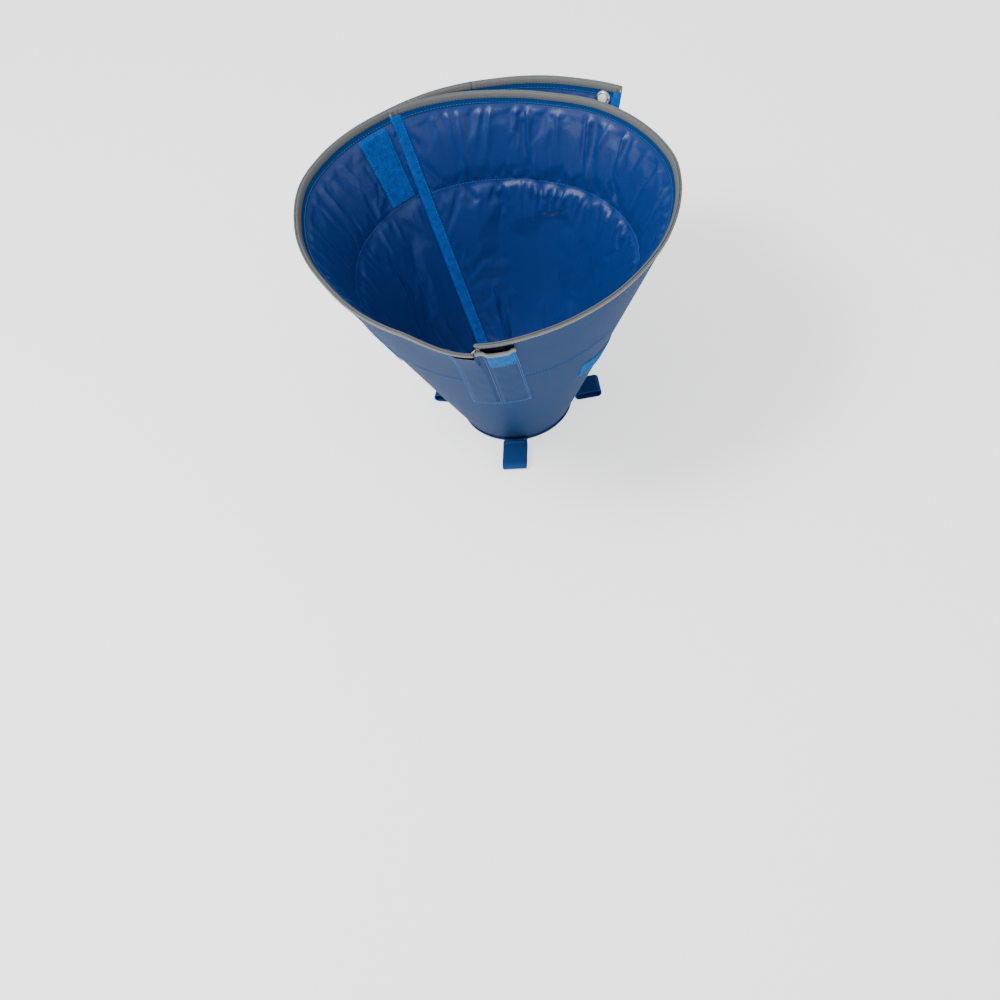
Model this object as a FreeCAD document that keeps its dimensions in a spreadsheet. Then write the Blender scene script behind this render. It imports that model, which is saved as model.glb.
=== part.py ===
"""Soft padded cone worn round a pet's neck: one bound panel, wrapped so that its free end is a flap behind.

Frame: millimetres, +Z up along the cone's axis, the neck edge at Z = 0, the front at -Y.
Angles are degrees seen from above, anticlockwise from the front: 0 is -Y, 90 is +X, 180 is +Y, 270 is -X.
An "offset" is measured level, outwards from the outer face of the cone's wall.
"""
import FreeCAD, Part
import math
import os

import Sketcher
from FreeCAD import Placement, Rotation, Vector

DIMENSIONS = (
    ("rim_radius", 190.0, "outer face at the wide rim"),
    ("neck_radius", 55.0, "outer face at the neck edge"),
    ("cone_height", 283.0, "neck edge to rim"),
    ("shell_thickness", 0.8, "outer fabric"),
    ("foam_thickness", 3.8, "padding"),
    ("lining_thickness", 0.7, "inner fabric"),
    ("layer_gap", 0.1, "air between sewn layers"),
    ("binding_thickness", 1.0, "folded edge tape"),
    ("rim_fold", 4.5, "rim binding down each face"),
    ("neck_fold", 9.0, "neck binding up each face"),
    ("facing_width", 6.0, "tape inside, below the rim binding"),
    ("tape_thickness", 0.6, "flat facing tape"),
    ("fastener_thickness", 1.3, "hook or loop tape"),
    ("inner_end_angle", 215.5, "where the panel starts, inside"),
    ("leave_angle", 277.3, "where the outer layer leaves the round"),
    ("flap_shift", 18.0, "how far the outer layer's axis lies from the cone's"),
    ("flap_root_angle", 210.0, "where the flap starts to swing"),
    ("flap_fold_angle", 175.0, "where the flap folds"),
    ("flap_end_angle", 145.3, "where the flap ends"),
    ("root_gap_angle", 0.4, "room at the flap's root"),
    ("fold_gap_angle", 1.3, "room at the flap's fold"),
    ("end_tape_angle", 3.0, "width of the tape over a panel end"),
    ("end_web_angle", 0.3, "thickness of that tape across the edge"),
    ("strip_gap_angle", 0.5, "from a panel end's tape to the strip beside it"),
    ("front_half_angle", 20.0, "the stretch of wall that holds the pocket, each way"),
    ("quilt_height", 197.0, "height of the quilting seam"),
    ("strip_start_angle", 223.0, "lining loop strip, first edge"),
    ("strip_sweep_angle", 10.5, "lining loop strip, width"),
    ("closure_low", 60.0, "lower end of the hidden closure strips"),
    ("closure_sweep_angle", 6.5, "width of the hidden closure strips"),
    ("band_low", 116.0, "right side loop band, lower edge at its ends"),
    ("band_width", 27.5, "right side loop band, height"),
    ("band_start_angle", 43.0, "right side loop band, front end"),
    ("band_sweep_angle", 120.0, "right side loop band, length"),
    ("band_tilt", 27.0, "right side loop band, dip of its straight run"),
    ("tab_sweep_angle", 12.0, "hook tab, length"),
    ("tab_inset", 1.0, "hook tab inside the band's edges"),
    ("patch_low", 154.0, "left side loop patch, lower edge"),
    ("patch_height", 54.0, "left side loop patch, height"),
    ("patch_start_angle", 284.0, "left side loop patch, rear edge"),
    ("patch_sweep_angle", 26.0, "left side loop patch, width"),
    ("pocket_low", 117.0, "front pocket, bottom edge"),
    ("pocket_high", 272.0, "front pocket, mouth"),
    ("pocket_width", 60.0, "front pocket, side to side"),
    ("pocket_seam", 2.0, "width of a stitched seam"),
    ("pocket_room", 3.6, "room between shell and pocket fabric"),
    ("pocket_sheet", 0.8, "pocket fabric"),
    ("mouth_fold", 7.0, "mouth binding, height"),
    ("patch_drop", 9.0, "pocket loop patch, below the mouth"),
    ("pocket_patch_height", 34.0, "pocket loop patch, height"),
    ("stay_side_room", 1.5, "stay short of its cell's seams"),
    ("stay_thickness", 0.8, "plastic stay"),
    ("stay_clearance", 1.3, "stay off the shell, square to it"),
    ("stay_play", 4.0, "stay short of the pocket's bottom"),
    ("stay_standout", 3.0, "stay above the pocket's mouth"),
    ("snap_drop", 15.5, "snap below the rim"),
    ("snap_seat", 0.3, "a flat disc stands this far off the curved wall"),
    ("snap_inset_angle", 5.2, "snap from the flap's end"),
    ("snap_radius", 7.5, "snap socket"),
    ("snap_flange", 0.8, "thickness of the snap's sheet metal"),
    ("snap_step", 0.5, "cap and stud smaller than the socket"),
    ("socket_height", 2.1, "snap socket"),
    ("socket_slope", 2.0, "width of the socket's sloping ring"),
    ("snap_bore_radius", 4.6, "snap socket's mouth"),
    ("insert_thickness", 0.4, "plastic disc in the socket's mouth"),
    ("snap_head_radius", 4.1, "snap stud's head"),
    ("stud_base", 1.2, "snap stud, to its waist"),
    ("stud_height", 2.8, "snap stud"),
    ("cap_height", 1.7, "dome of the snap's cap"),
    ("plate_radius", 5.5, "back plate inside the padding"),
    ("plate_depth", 1.4, "back plate below the outer face"),
    ("post_radius", 1.7, "rivet post through the wall"),
    ("post_room", 0.3, "room round the post"),
    ("webbing_width", 25.0, "collar loop webbing"),
    ("webbing_thickness", 1.3, "collar loop webbing"),
    ("loop_length", 38.0, "front and back collar loops, out from the neck"),
    ("side_loop_length", 29.0, "side collar loops, out from the neck"),
    ("loop_height", 9.4, "collar loop, over both layers"),
    ("loop_root_height", 7.0, "sewn root of a collar loop"),
    ("loop_room", 0.4, "room between loop and root"),
    ("root_lift", 1.0, "sewn root above the neck edge"),
    ("side_loop_angle", 100.0, "side collar loops, from the front"),
    ("back_loop_angle", 192.0, "back collar loop, on the flap"),
)

doc = FreeCAD.newDocument("SoftCone")
sheet = doc.addObject("Spreadsheet::Sheet", "Dims")
for row, (alias, value, meaning) in enumerate(DIMENSIONS, start=1):
    sheet.set(f"A{row}", meaning)
    sheet.set(f"B{row}", str(value))
    sheet.setAlias(f"B{row}", alias)
doc.recompute()

nodes = []

# Offsets of the wall's layers, outermost first, as expressions on the sheet.
GAP = "Dims.layer_gap"
SHELL_IN = "-Dims.shell_thickness"
FOAM_OUT = f"({SHELL_IN} - {GAP})"
FOAM_IN = f"({FOAM_OUT} - Dims.foam_thickness)"
LINING_OUT = f"({FOAM_IN} - {GAP})"
WALL = f"({LINING_OUT} - Dims.lining_thickness)"
ON_SHELL = f"({GAP})"
ON_LINING = f"({WALL} - {GAP})"
PROUD = f"({ON_SHELL} + Dims.binding_thickness)"
PROUD_INSIDE = f"({ON_LINING} - Dims.binding_thickness)"

# Heights.
WALL_LOW = f"(Dims.binding_thickness + {GAP})"
WALL_HIGH = "Dims.cone_height"
RIM_TOP = f"({WALL_HIGH} + {GAP} + Dims.binding_thickness)"
RIM_FOLD_LOW = f"({WALL_HIGH} - Dims.rim_fold)"
FACING_HIGH = f"({RIM_FOLD_LOW} - {GAP})"
FACING_LOW = f"({FACING_HIGH} - Dims.facing_width)"
TRIM_HIGH = f"({FACING_LOW} - {GAP})"
TRIM_LOW = f"(Dims.neck_fold + {GAP})"

# A stitched cell of the pocket, less the room at its sides.
STAY_WIDTH = "((Dims.pocket_width - 3 * Dims.pocket_seam) / 2 - 2 * Dims.stay_side_room)"


def size(name):
    """A driving dimension's value."""
    return float(sheet.get(name))


def value_of(expression):
    """The value of an expression on the sheet."""
    return float(sheet.evalExpression(expression.replace("Dims.", "")))


def keep(feature, label):
    """Names a finished sub-part and lists it for export."""
    feature.Label = label
    nodes.append(feature)
    return feature


def radius_at(height, offset, shift="0"):
    """Expression for the distance from the axis of a point on the wall."""
    slope = "(Dims.rim_radius - Dims.neck_radius) / Dims.cone_height"
    return f"Dims.neck_radius + {slope} * ({height}) + ({offset}) + ({shift})"


def start_sketch(body):
    """A sketch on the body's own XZ plane: its X is outwards and its Y is up."""
    sketch = body.newObject("Sketcher::SketchObject", f"{body.Name}_outline")
    planes = [f for f in body.Origin.OriginFeatures if f.Role == "XZ_Plane"]
    sketch.AttachmentSupport = (planes[0], "")
    sketch.MapMode = "FlatFace"
    return sketch


def fix_point(sketch, geometry, point, corner):
    """Ties one point of the sketch to its two expressions."""
    for kind, expression in zip(("DistanceX", "DistanceY"), corner):
        datum = value_of(expression)
        if expression == "0":
            axis = -2 if kind == "DistanceX" else -1
            sketch.addConstraint(Sketcher.Constraint("PointOnObject", geometry, point, axis))
            continue
        index = sketch.addConstraint(Sketcher.Constraint(kind, -1, 1, geometry, point, datum))
        sketch.setExpression(f"Constraints[{index}]", expression)


def polygon(body, corners):
    """A closed outline through the corners, each a pair of expressions (out, up)."""
    sketch = start_sketch(body)
    points = [Vector(value_of(x), value_of(y), 0) for x, y in corners]
    count = len(points)
    for i in range(count):
        sketch.addGeometry(Part.LineSegment(points[i], points[(i + 1) % count]), False)
    for i in range(count):
        sketch.addConstraint(Sketcher.Constraint("Coincident", i, 2, (i + 1) % count, 1))
        fix_point(sketch, i, 1, corners[i])
    return sketch


def turned_body(name, corners, sweep):
    """A body made by turning an outline about its own upright axis."""
    body = doc.addObject("PartDesign::Body", name)
    sketch = polygon(body, corners)
    turned = body.newObject("PartDesign::Revolution", f"{name}_turned")
    turned.Profile = sketch
    turned.ReferenceAxis = (sketch, ["V_Axis"])
    turned.setExpression("Angle", sweep)
    body.Tip = turned
    return body


def sector(name, outline, start, sweep, on_flap=False):
    """A stretch of the wall, turned from a start angle through a sweep.

    The outline's corners are (offset, height). The outer layer turns about its own axis, moved so that the two
    rounds touch where the outer layer leaves.
    """
    shift = "Dims.flap_shift" if on_flap else "0"
    corners = [(radius_at(height, offset, shift), height) for offset, height in outline]
    body = turned_body(name, corners, sweep)
    body.Placement = Placement(Vector(0, 0, 0), Rotation(Vector(0, 0, 1), 10))
    body.setExpression("Placement.Rotation.Angle", f"mod({start} + 270; 360)")
    if on_flap:
        body.setExpression("Placement.Base.x", "-Dims.flap_shift * sin(Dims.leave_angle * 1 deg)")
        body.setExpression("Placement.Base.y", "Dims.flap_shift * cos(Dims.leave_angle * 1 deg)")
    return body


def band(inner, outer, low, high):
    """Outline of a layer between two offsets and two heights."""
    return [(inner, low), (outer, low), (outer, high), (inner, high)]


def fuse(label, *parts):
    """Several touching stretches as one piece."""
    joined = doc.addObject("Part::MultiFuse", f"{label}_joined")
    joined.Shapes = list(parts)
    return keep(joined, label)


def cut(base, tool, name):
    """The base with the tool's space taken out."""
    made = doc.addObject("Part::Cut", name)
    made.Base = base
    made.Tool = tool
    return made


def box(name, lengths, corner):
    """A box from expressions: lengths along X, Y, Z and its lowest corner."""
    block = doc.addObject("Part::Box", name)
    for prop, expression in zip(("Length", "Width", "Height"), lengths):
        block.setExpression(prop, expression)
    for prop, expression in zip("xyz", corner):
        block.setExpression(f"Placement.Base.{prop}", expression)
    return block


def common(base, tool, name):
    """The space that two shapes share."""
    made = doc.addObject("Part::Common", name)
    made.Base = base
    made.Tool = tool
    return made


# ---- the panel's layers and edge tapes ----

RIM_BINDING = [
    (PROUD_INSIDE, RIM_FOLD_LOW), (ON_LINING, RIM_FOLD_LOW), (ON_LINING, f"({WALL_HIGH} + {GAP})"),
    (ON_SHELL, f"({WALL_HIGH} + {GAP})"), (ON_SHELL, RIM_FOLD_LOW), (PROUD, RIM_FOLD_LOW),
    (PROUD, RIM_TOP), (PROUD_INSIDE, RIM_TOP),
]
NECK_BINDING = [
    (PROUD_INSIDE, "0"), (PROUD, "0"), (PROUD, "Dims.neck_fold"), (ON_SHELL, "Dims.neck_fold"),
    (ON_SHELL, "Dims.binding_thickness"), (ON_LINING, "Dims.binding_thickness"),
    (ON_LINING, "Dims.neck_fold"), (PROUD_INSIDE, "Dims.neck_fold"),
]
PANEL = {
    "shell": band(SHELL_IN, "0", WALL_LOW, WALL_HIGH),
    "foam": band(FOAM_IN, FOAM_OUT, WALL_LOW, WALL_HIGH),
    "lining": band(WALL, LINING_OUT, WALL_LOW, WALL_HIGH),
    "rim_binding": RIM_BINDING,
    "rim_facing": band(f"({ON_LINING} - Dims.tape_thickness)", ON_LINING, FACING_LOW, FACING_HIGH),
    "neck_binding": NECK_BINDING,
}
CONE_NAMES = {
    "shell": "outer_shell", "foam": "foam_core", "lining": "inner_lining",
    "rim_binding": "rim_binding", "rim_facing": "rim_facing_tape", "neck_binding": "neck_binding",
}

POST_HOLE = "Dims.post_radius + Dims.post_room"
SNAP_HOLES = {
    "shell": POST_HOLE, "foam": POST_HOLE, "lining": POST_HOLE,
    "rim_facing": "Dims.snap_radius + Dims.post_room",
}
STUD_HOLES = {"shell": POST_HOLE, "foam": "Dims.plate_radius + Dims.post_room"}

ROUND_START = "Dims.leave_angle"
ROUND_SWEEP = "Dims.inner_end_angle + 360 - Dims.leave_angle"
LEAD_START = "(Dims.flap_root_angle + Dims.root_gap_angle / 2)"
LEAD_SWEEP = f"Dims.leave_angle - {LEAD_START}"
ROOT_START = "(Dims.flap_fold_angle + Dims.fold_gap_angle / 2)"
ROOT_SWEEP = f"Dims.flap_root_angle - Dims.root_gap_angle / 2 - {ROOT_START}"
TIP_START = "Dims.flap_end_angle"
TIP_SWEEP = f"Dims.flap_fold_angle - Dims.fold_gap_angle / 2 - {TIP_START}"


def post_holes(placement, base, radius, name):
    """The base with a round hole square through the wall at a rivet."""
    drill = doc.addObject("Part::Cylinder", f"{name}_drill")
    drill.setExpression("Radius", radius)
    drill.setExpression("Height", f"4 * -{WALL}")
    drill.Placement = placement.multiply(Placement(Vector(0, 0, 2 * value_of(WALL)), Rotation()))
    return cut(base, drill, f"{name}_drilled")


def wall_placement(angle, height, offset, on_flap=False, inwards=False):
    """A place on the wall whose own Z is square to the wall."""
    slope = math.degrees(math.atan2(size("rim_radius") - size("neck_radius"), size("cone_height")))
    tilt = slope - 90 if inwards else slope + 90
    turn = Rotation(Vector(0, 0, 1), angle - 90)
    shift = "Dims.flap_shift" if on_flap else "0"
    out = value_of(radius_at(str(height), str(offset), shift))
    centre = flap_centre() if on_flap else Vector(0, 0, 0)
    base = centre + turn.multVec(Vector(out, 0, height))
    return Placement(base, turn.multiply(Rotation(Vector(0, 1, 0), tilt)))


def flap_centre():
    """The outer layer's axis."""
    leave = math.radians(size("leave_angle"))
    return Vector(-math.sin(leave), math.cos(leave), 0) * size("flap_shift")


def fold_line(angle_name):
    """A point and the upward direction of the line that the flap turns about."""
    low = wall_placement(size(angle_name), 0, value_of(PROUD), on_flap=True).Base
    high = wall_placement(size(angle_name), size("cone_height"), value_of(PROUD), on_flap=True).Base
    return low, (high - low).normalize()


def build_panel():
    """The three stretches of the wall: round the cone, the flap's root and the flap's tip."""
    snap = socket_placement()
    stud = stud_placement()
    for piece, outline in PANEL.items():
        around = sector(f"{piece}_round", outline, ROUND_START, ROUND_SWEEP)
        lead = sector(f"{piece}_lead", outline, LEAD_START, LEAD_SWEEP, on_flap=True)
        root = sector(f"{piece}_root", outline, ROOT_START, ROOT_SWEEP, on_flap=True)
        tip = sector(f"{piece}_tip", outline, TIP_START, TIP_SWEEP, on_flap=True)
        if piece in STUD_HOLES:
            around = post_holes(stud, around, STUD_HOLES[piece], f"{piece}_round")
        if piece in SNAP_HOLES:
            tip = post_holes(snap, tip, SNAP_HOLES[piece], f"{piece}_tip")
        fuse(CONE_NAMES[piece], around, lead)
        keep(root, f"flap_root_{piece}")
        keep(tip, f"flap_tip_{piece}")


def end_binding(label, edge, side, on_flap):
    """Tape folded over an upright end of the panel: two legs and the web across the edge.

    side is +1 where the panel runs towards smaller angles from its edge, -1 where it runs the other way.
    """
    reach = "Dims.end_tape_angle + Dims.end_web_angle"
    if side > 0:
        leg_start = f"({edge} - Dims.end_tape_angle)"
        web_start = f"({edge} + Dims.end_web_angle / 6)"
    else:
        leg_start = f"({edge} - Dims.end_web_angle)"
        web_start = leg_start
    outside = band(ON_SHELL, PROUD, TRIM_LOW, TRIM_HIGH)
    inside = band(PROUD_INSIDE, ON_LINING, TRIM_LOW, TRIM_HIGH)
    outer = sector(f"{label}_outer", outside, leg_start, reach, on_flap)
    inner = sector(f"{label}_inner", inside, leg_start, reach, on_flap)
    web = sector(
        f"{label}_web", band(PROUD_INSIDE, PROUD, TRIM_LOW, TRIM_HIGH), web_start,
        "Dims.end_web_angle * 5 / 6", on_flap,
    )
    return fuse(label, outer, inner, web)


# ---- hook and loop ----


def straight_run(name, inset):
    """The slab between the two tilted planes of a straight tape, lowest at its middle."""
    half_sweep = math.radians(size("band_sweep_angle") / 2)
    end_reach = value_of(radius_at("Dims.band_low", "0")) * math.cos(half_sweep)
    on_axis = size("band_low") + end_reach * math.tan(math.radians(size("band_tilt")))
    middle = size("band_start_angle") + size("band_sweep_angle") / 2
    tilt = Rotation(Vector(0, 0, 1), middle - 90).multiply(Rotation(Vector(0, 1, 0), size("band_tilt")))
    slab = doc.addObject("Part::Box", f"{name}_slab")
    slab.setExpression("Length", "4 * Dims.rim_radius")
    slab.setExpression("Width", "4 * Dims.rim_radius")
    slab.setExpression("Height", f"Dims.band_width - 2 * {inset}")
    corner = tilt.multVec(Vector(-2 * size("rim_radius"), -2 * size("rim_radius"), value_of(inset)))
    slab.Placement = Placement(Vector(0, 0, on_axis) + corner, tilt)
    return slab


def build_fasteners():
    """Hook and loop strips on the lining, the shell and the flap."""
    on_shell = (ON_SHELL, f"({ON_SHELL} + Dims.fastener_thickness)")
    on_lining = (f"({ON_LINING} - Dims.fastener_thickness)", ON_LINING)
    keep(sector(
        "lining_strip", band(*on_lining, "Dims.quilt_height", TRIM_HIGH),
        "Dims.strip_start_angle", "Dims.strip_sweep_angle", on_flap=True,
    ), "lining_loop_strip")
    keep(sector(
        "hook_strip", band(*on_shell, "Dims.closure_low", TRIM_HIGH),
        "(Dims.inner_end_angle - Dims.end_tape_angle - Dims.closure_sweep_angle - Dims.strip_gap_angle)",
        "Dims.closure_sweep_angle",
    ), "inner_hook_strip")
    keep(sector(
        "facing_strip", band(*on_lining, "Dims.closure_low", TRIM_HIGH),
        "(Dims.flap_root_angle - Dims.root_gap_angle - Dims.closure_sweep_angle)",
        "Dims.closure_sweep_angle", on_flap=True,
    ), "flap_loop_strip")
    side = sector(
        "side_layer", band(*on_shell, TRIM_LOW, TRIM_HIGH), "Dims.band_start_angle", "Dims.band_sweep_angle",
    )
    keep(common(side, straight_run("side", "0"), "side_band"), "side_loop_band")
    keep(sector(
        "side_patch", band(*on_shell, "Dims.patch_low", "Dims.patch_low + Dims.patch_height"),
        "Dims.patch_start_angle", "Dims.patch_sweep_angle",
    ), "side_loop_patch")
    tab_start = "(Dims.flap_end_angle + Dims.end_tape_angle + Dims.strip_gap_angle)"
    tab = sector(
        "tab_layer", band(*on_lining, TRIM_LOW, TRIM_HIGH), tab_start, "Dims.tab_sweep_angle", on_flap=True,
    )
    keep(common(tab, straight_run("tab", "Dims.tab_inset"), "hook_tab"), "flap_hook_tab")


# ---- front pocket and its stays ----

POCKET_OUT = f"({ON_SHELL} + Dims.pocket_room + Dims.pocket_sheet)"
POCKET_IN = f"({ON_SHELL} + Dims.pocket_room)"
FRONT_START = "(360 - Dims.front_half_angle)"
FRONT_SWEEP = "2 * Dims.front_half_angle"


def front_piece(name, inner, outer, low, high, left, right):
    """A piece that follows the front of the wall between two upright planes."""
    layer = sector(f"{name}_layer", band(inner, outer, low, high), FRONT_START, FRONT_SWEEP)
    window = box(
        f"{name}_window", (f"({right}) - ({left})", "2 * Dims.rim_radius", "2 * Dims.cone_height"),
        (left, "-2 * Dims.rim_radius", "-Dims.cone_height / 2"),
    )
    return common(layer, window, f"{name}_trimmed")


def build_pocket():
    """Two stitched cells on the front of the shell, a stay in each, and the mouth's binding and loop patch."""
    half = "Dims.pocket_width / 2"
    seam = "Dims.pocket_seam"
    floor = f"(Dims.pocket_low + {seam})"
    panel = front_piece("pocket", ON_SHELL, POCKET_OUT, "Dims.pocket_low", "Dims.pocket_high", f"-{half}", half)
    left = front_piece(
        "left_cell", "0", POCKET_IN, floor, f"(Dims.pocket_high - {seam})", f"-{half} + {seam}", f"-{seam} / 2",
    )
    right = front_piece(
        "right_cell", "0", POCKET_IN, floor, f"(Dims.pocket_high + {seam})", f"{seam} / 2", f"{half} - {seam}",
    )
    keep(cut(cut(panel, left, "pocket_left_cell"), right, "pocket_cells"), "front_stay_pocket")

    on_pocket = f"({POCKET_OUT} + {GAP})"
    mouth_out = f"({on_pocket} + Dims.pocket_sheet)"
    mouth_low = "(Dims.pocket_high - Dims.mouth_fold)"
    mouth_seat = f"(Dims.pocket_high + {GAP})"
    mouth_top = f"({mouth_seat} + Dims.pocket_sheet)"
    mouth_outline = [
        (on_pocket, mouth_low), (mouth_out, mouth_low), (mouth_out, mouth_top), (POCKET_IN, mouth_top),
        (POCKET_IN, mouth_seat), (on_pocket, mouth_seat),
    ]
    mouth = sector("mouth_layer", mouth_outline, FRONT_START, FRONT_SWEEP)
    mouth_window = box(
        "mouth_window", (f"{half} + {seam} / 2", "2 * Dims.rim_radius", "2 * Dims.cone_height"),
        (f"{seam} / 4", "-2 * Dims.rim_radius", "-Dims.cone_height / 2"),
    )
    keep(common(mouth, mouth_window, "mouth_trimmed"), "pocket_mouth_binding")

    patch_high = "(Dims.pocket_high - Dims.patch_drop)"
    keep(front_piece(
        "pocket_patch", on_pocket, f"({on_pocket} + Dims.fastener_thickness)",
        f"({patch_high} - Dims.pocket_patch_height)", patch_high, seam, f"{half} - {seam} / 2",
    ), "pocket_loop_patch")

    stay_in = f"({ON_SHELL} + Dims.stay_clearance / 2)"
    keep(front_piece(
        "sewn_stay", stay_in, f"({stay_in} + Dims.stay_thickness)", f"({floor} + {seam})",
        f"(Dims.pocket_high - 2 * {seam})",
        f"-({half} - {seam} / 2) / 2 - {STAY_WIDTH} / 2", f"-({half} - {seam} / 2) / 2 + {STAY_WIDTH} / 2",
    ), "sewn_in_stay")
    build_removable_stay()


def stay_line():
    """The stay's lower end, its width direction, its outward normal and its long direction."""
    across = (size("pocket_width") - size("pocket_seam")) / 4
    low = size("pocket_low") + size("pocket_seam") + size("stay_play")
    high = size("pocket_high")
    ends = []
    for height in (low, high):
        radius = value_of(radius_at(str(height), "0"))
        ends.append(Vector(across, -math.sqrt(radius ** 2 - across ** 2), height))
    along = (ends[1] - ends[0]).normalize()
    middle = (ends[0] + ends[1]) / 2
    turn = math.asin(across / math.hypot(middle.x, middle.y))
    width = Vector(math.cos(turn), math.sin(turn), 0)
    width = (width - along * width.dot(along)).normalize()
    return ends[0], width, width.cross(along), along


def build_removable_stay():
    """A flat plastic strip in the right cell, with its top end standing out of the mouth."""
    low, width, outward, along = stay_line()
    stay = doc.addObject("Part::Box", "removable_strip")
    stay.setExpression("Length", STAY_WIDTH)
    stay.setExpression("Width", "Dims.stay_thickness")
    reach = (size("pocket_high") + size("stay_standout") - low.z) / along.z
    stay.Height = reach
    lift = size("stay_clearance") + size("stay_thickness")
    corner = low - width * (value_of(STAY_WIDTH) / 2) + outward * lift
    stay.Placement = Placement(corner, Rotation(width, outward * -1, along, "ZXY"))
    keep(stay, "removable_stay")


# ---- snap ----


def socket_placement():
    """The snap's place on the flap's outer face, its Z square to the wall and outwards."""
    angle = size("flap_end_angle") + size("snap_inset_angle")
    return wall_placement(angle, size("cone_height") - size("snap_drop"), 0, on_flap=True)


def stud_placement():
    """The stud's place on the cone, as far along the panel as the socket when the flap lies flat."""
    leave = size("leave_angle")
    flap_reach = leave - size("flap_end_angle") - size("snap_inset_angle")
    stretch = (size("rim_radius") + size("flap_shift")) / size("rim_radius")
    return wall_placement(leave - flap_reach * stretch, size("cone_height") - size("snap_drop"), 0)


SEAT = "Dims.snap_seat"
CAP_RADIUS = "(Dims.snap_radius - Dims.snap_step)"
DOME = ((1.0, 0.35), (0.8, 0.7), (0.4, 0.94), (0.0, 1.0))  # shares of the cap's radius and height


def disc(label, corners, placement):
    """A pressed piece, turned about its own axis and set square on the wall."""
    body = turned_body(f"{label}_disc", corners, "360")
    body.Placement = placement
    return keep(body, label)


def build_snap():
    """Socket, insert and cap on the flap's tip; stud on the cone, with its plate sealed in the padding."""
    flap_face = socket_placement()
    stud_face = stud_placement()
    square = "cos(atan((Dims.rim_radius - Dims.neck_radius) / Dims.cone_height))"
    thickness = -value_of(f"{WALL} * {square}")
    flap_inside = flap_face.multiply(Placement(Vector(0, 0, -thickness), Rotation(Vector(1, 0, 0), 180)))
    bore = "Dims.snap_bore_radius"
    socket_top = "Dims.socket_height"
    disc("snap_socket", [
        ("0", SEAT), ("Dims.snap_radius", SEAT), ("Dims.snap_radius", f"{SEAT} + Dims.snap_flange"),
        (f"{bore} + Dims.socket_slope", socket_top), (bore, socket_top), (bore, "Dims.snap_flange"),
        ("0", "Dims.snap_flange"),
    ], flap_inside)
    insert_low = f"(Dims.snap_flange + {GAP})"
    insert_high = f"({insert_low} + Dims.insert_thickness)"
    disc("snap_insert", [
        ("0", insert_low), (f"{bore} - {GAP}", insert_low), (f"{bore} - {GAP}", insert_high), ("0", insert_high),
    ], flap_inside)
    dome = [(f"{CAP_RADIUS} * {out}" if out else "0", f"{SEAT} + Dims.cap_height * {up}") for out, up in DOME]
    disc("snap_cap", [
        ("0", f"{WALL} * {square}"), ("Dims.post_radius", f"{WALL} * {square}"),
        ("Dims.post_radius", SEAT), (CAP_RADIUS, SEAT), *dome,
    ], flap_face)

    head = "Dims.snap_head_radius"
    waist = f"({head} - Dims.snap_step)"
    lip = "Dims.snap_step / 2"
    stud_top = "Dims.stud_height"
    disc("snap_stud", [
        ("0", SEAT), (CAP_RADIUS, SEAT), (CAP_RADIUS, "Dims.snap_flange"),
        (f"{head} + Dims.snap_step", "Dims.stud_base"), (waist, "Dims.stud_base"),
        (waist, f"{stud_top} - 4 * {lip}"), (head, f"{stud_top} - 3 * {lip}"), (head, f"{stud_top} - {lip}"),
        (waist, stud_top), ("0", stud_top),
    ], stud_face)
    plate_high = "-Dims.plate_depth"
    plate_low = "-(Dims.plate_depth + Dims.snap_flange)"
    disc("snap_back_plate", [
        ("0", plate_low), ("Dims.plate_radius", plate_low), ("Dims.plate_radius", plate_high),
        ("Dims.post_radius", plate_high), ("Dims.post_radius", "0"), ("0", "0"),
    ], stud_face)


# ---- collar loops ----


def slot_outline(sketch, first, start, end, middle, radius):
    """A round-ended slot between two arc centres, as four edges numbered from first."""
    a, b, mid, r = value_of(start), value_of(end), value_of(middle), value_of(radius)
    up = Vector(0, 0, 1)
    sketch.addGeometry(Part.LineSegment(Vector(a, mid - r, 0), Vector(b, mid - r, 0)), False)
    quarter = math.pi / 2
    sketch.addGeometry(Part.ArcOfCircle(Part.Circle(Vector(b, mid, 0), up, r), -quarter, quarter), False)
    sketch.addGeometry(Part.LineSegment(Vector(b, mid + r, 0), Vector(a, mid + r, 0)), False)
    sketch.addGeometry(Part.ArcOfCircle(Part.Circle(Vector(a, mid, 0), up, r), quarter, 3 * quarter), False)
    for i in range(4):
        sketch.addConstraint(Sketcher.Constraint("Tangent", first + i, 2, first + (i + 1) % 4, 1))
    sketch.addConstraint(Sketcher.Constraint("Horizontal", first))
    sketch.addConstraint(Sketcher.Constraint("Equal", first + 1, first + 3))
    index = sketch.addConstraint(Sketcher.Constraint("Radius", first + 1, r))
    sketch.setExpression(f"Constraints[{index}]", radius)
    fix_point(sketch, first + 1, 3, (end, middle))
    index = sketch.addConstraint(Sketcher.Constraint("DistanceX", -1, 1, first + 3, 3, a))
    sketch.setExpression(f"Constraints[{index}]", start)


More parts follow.
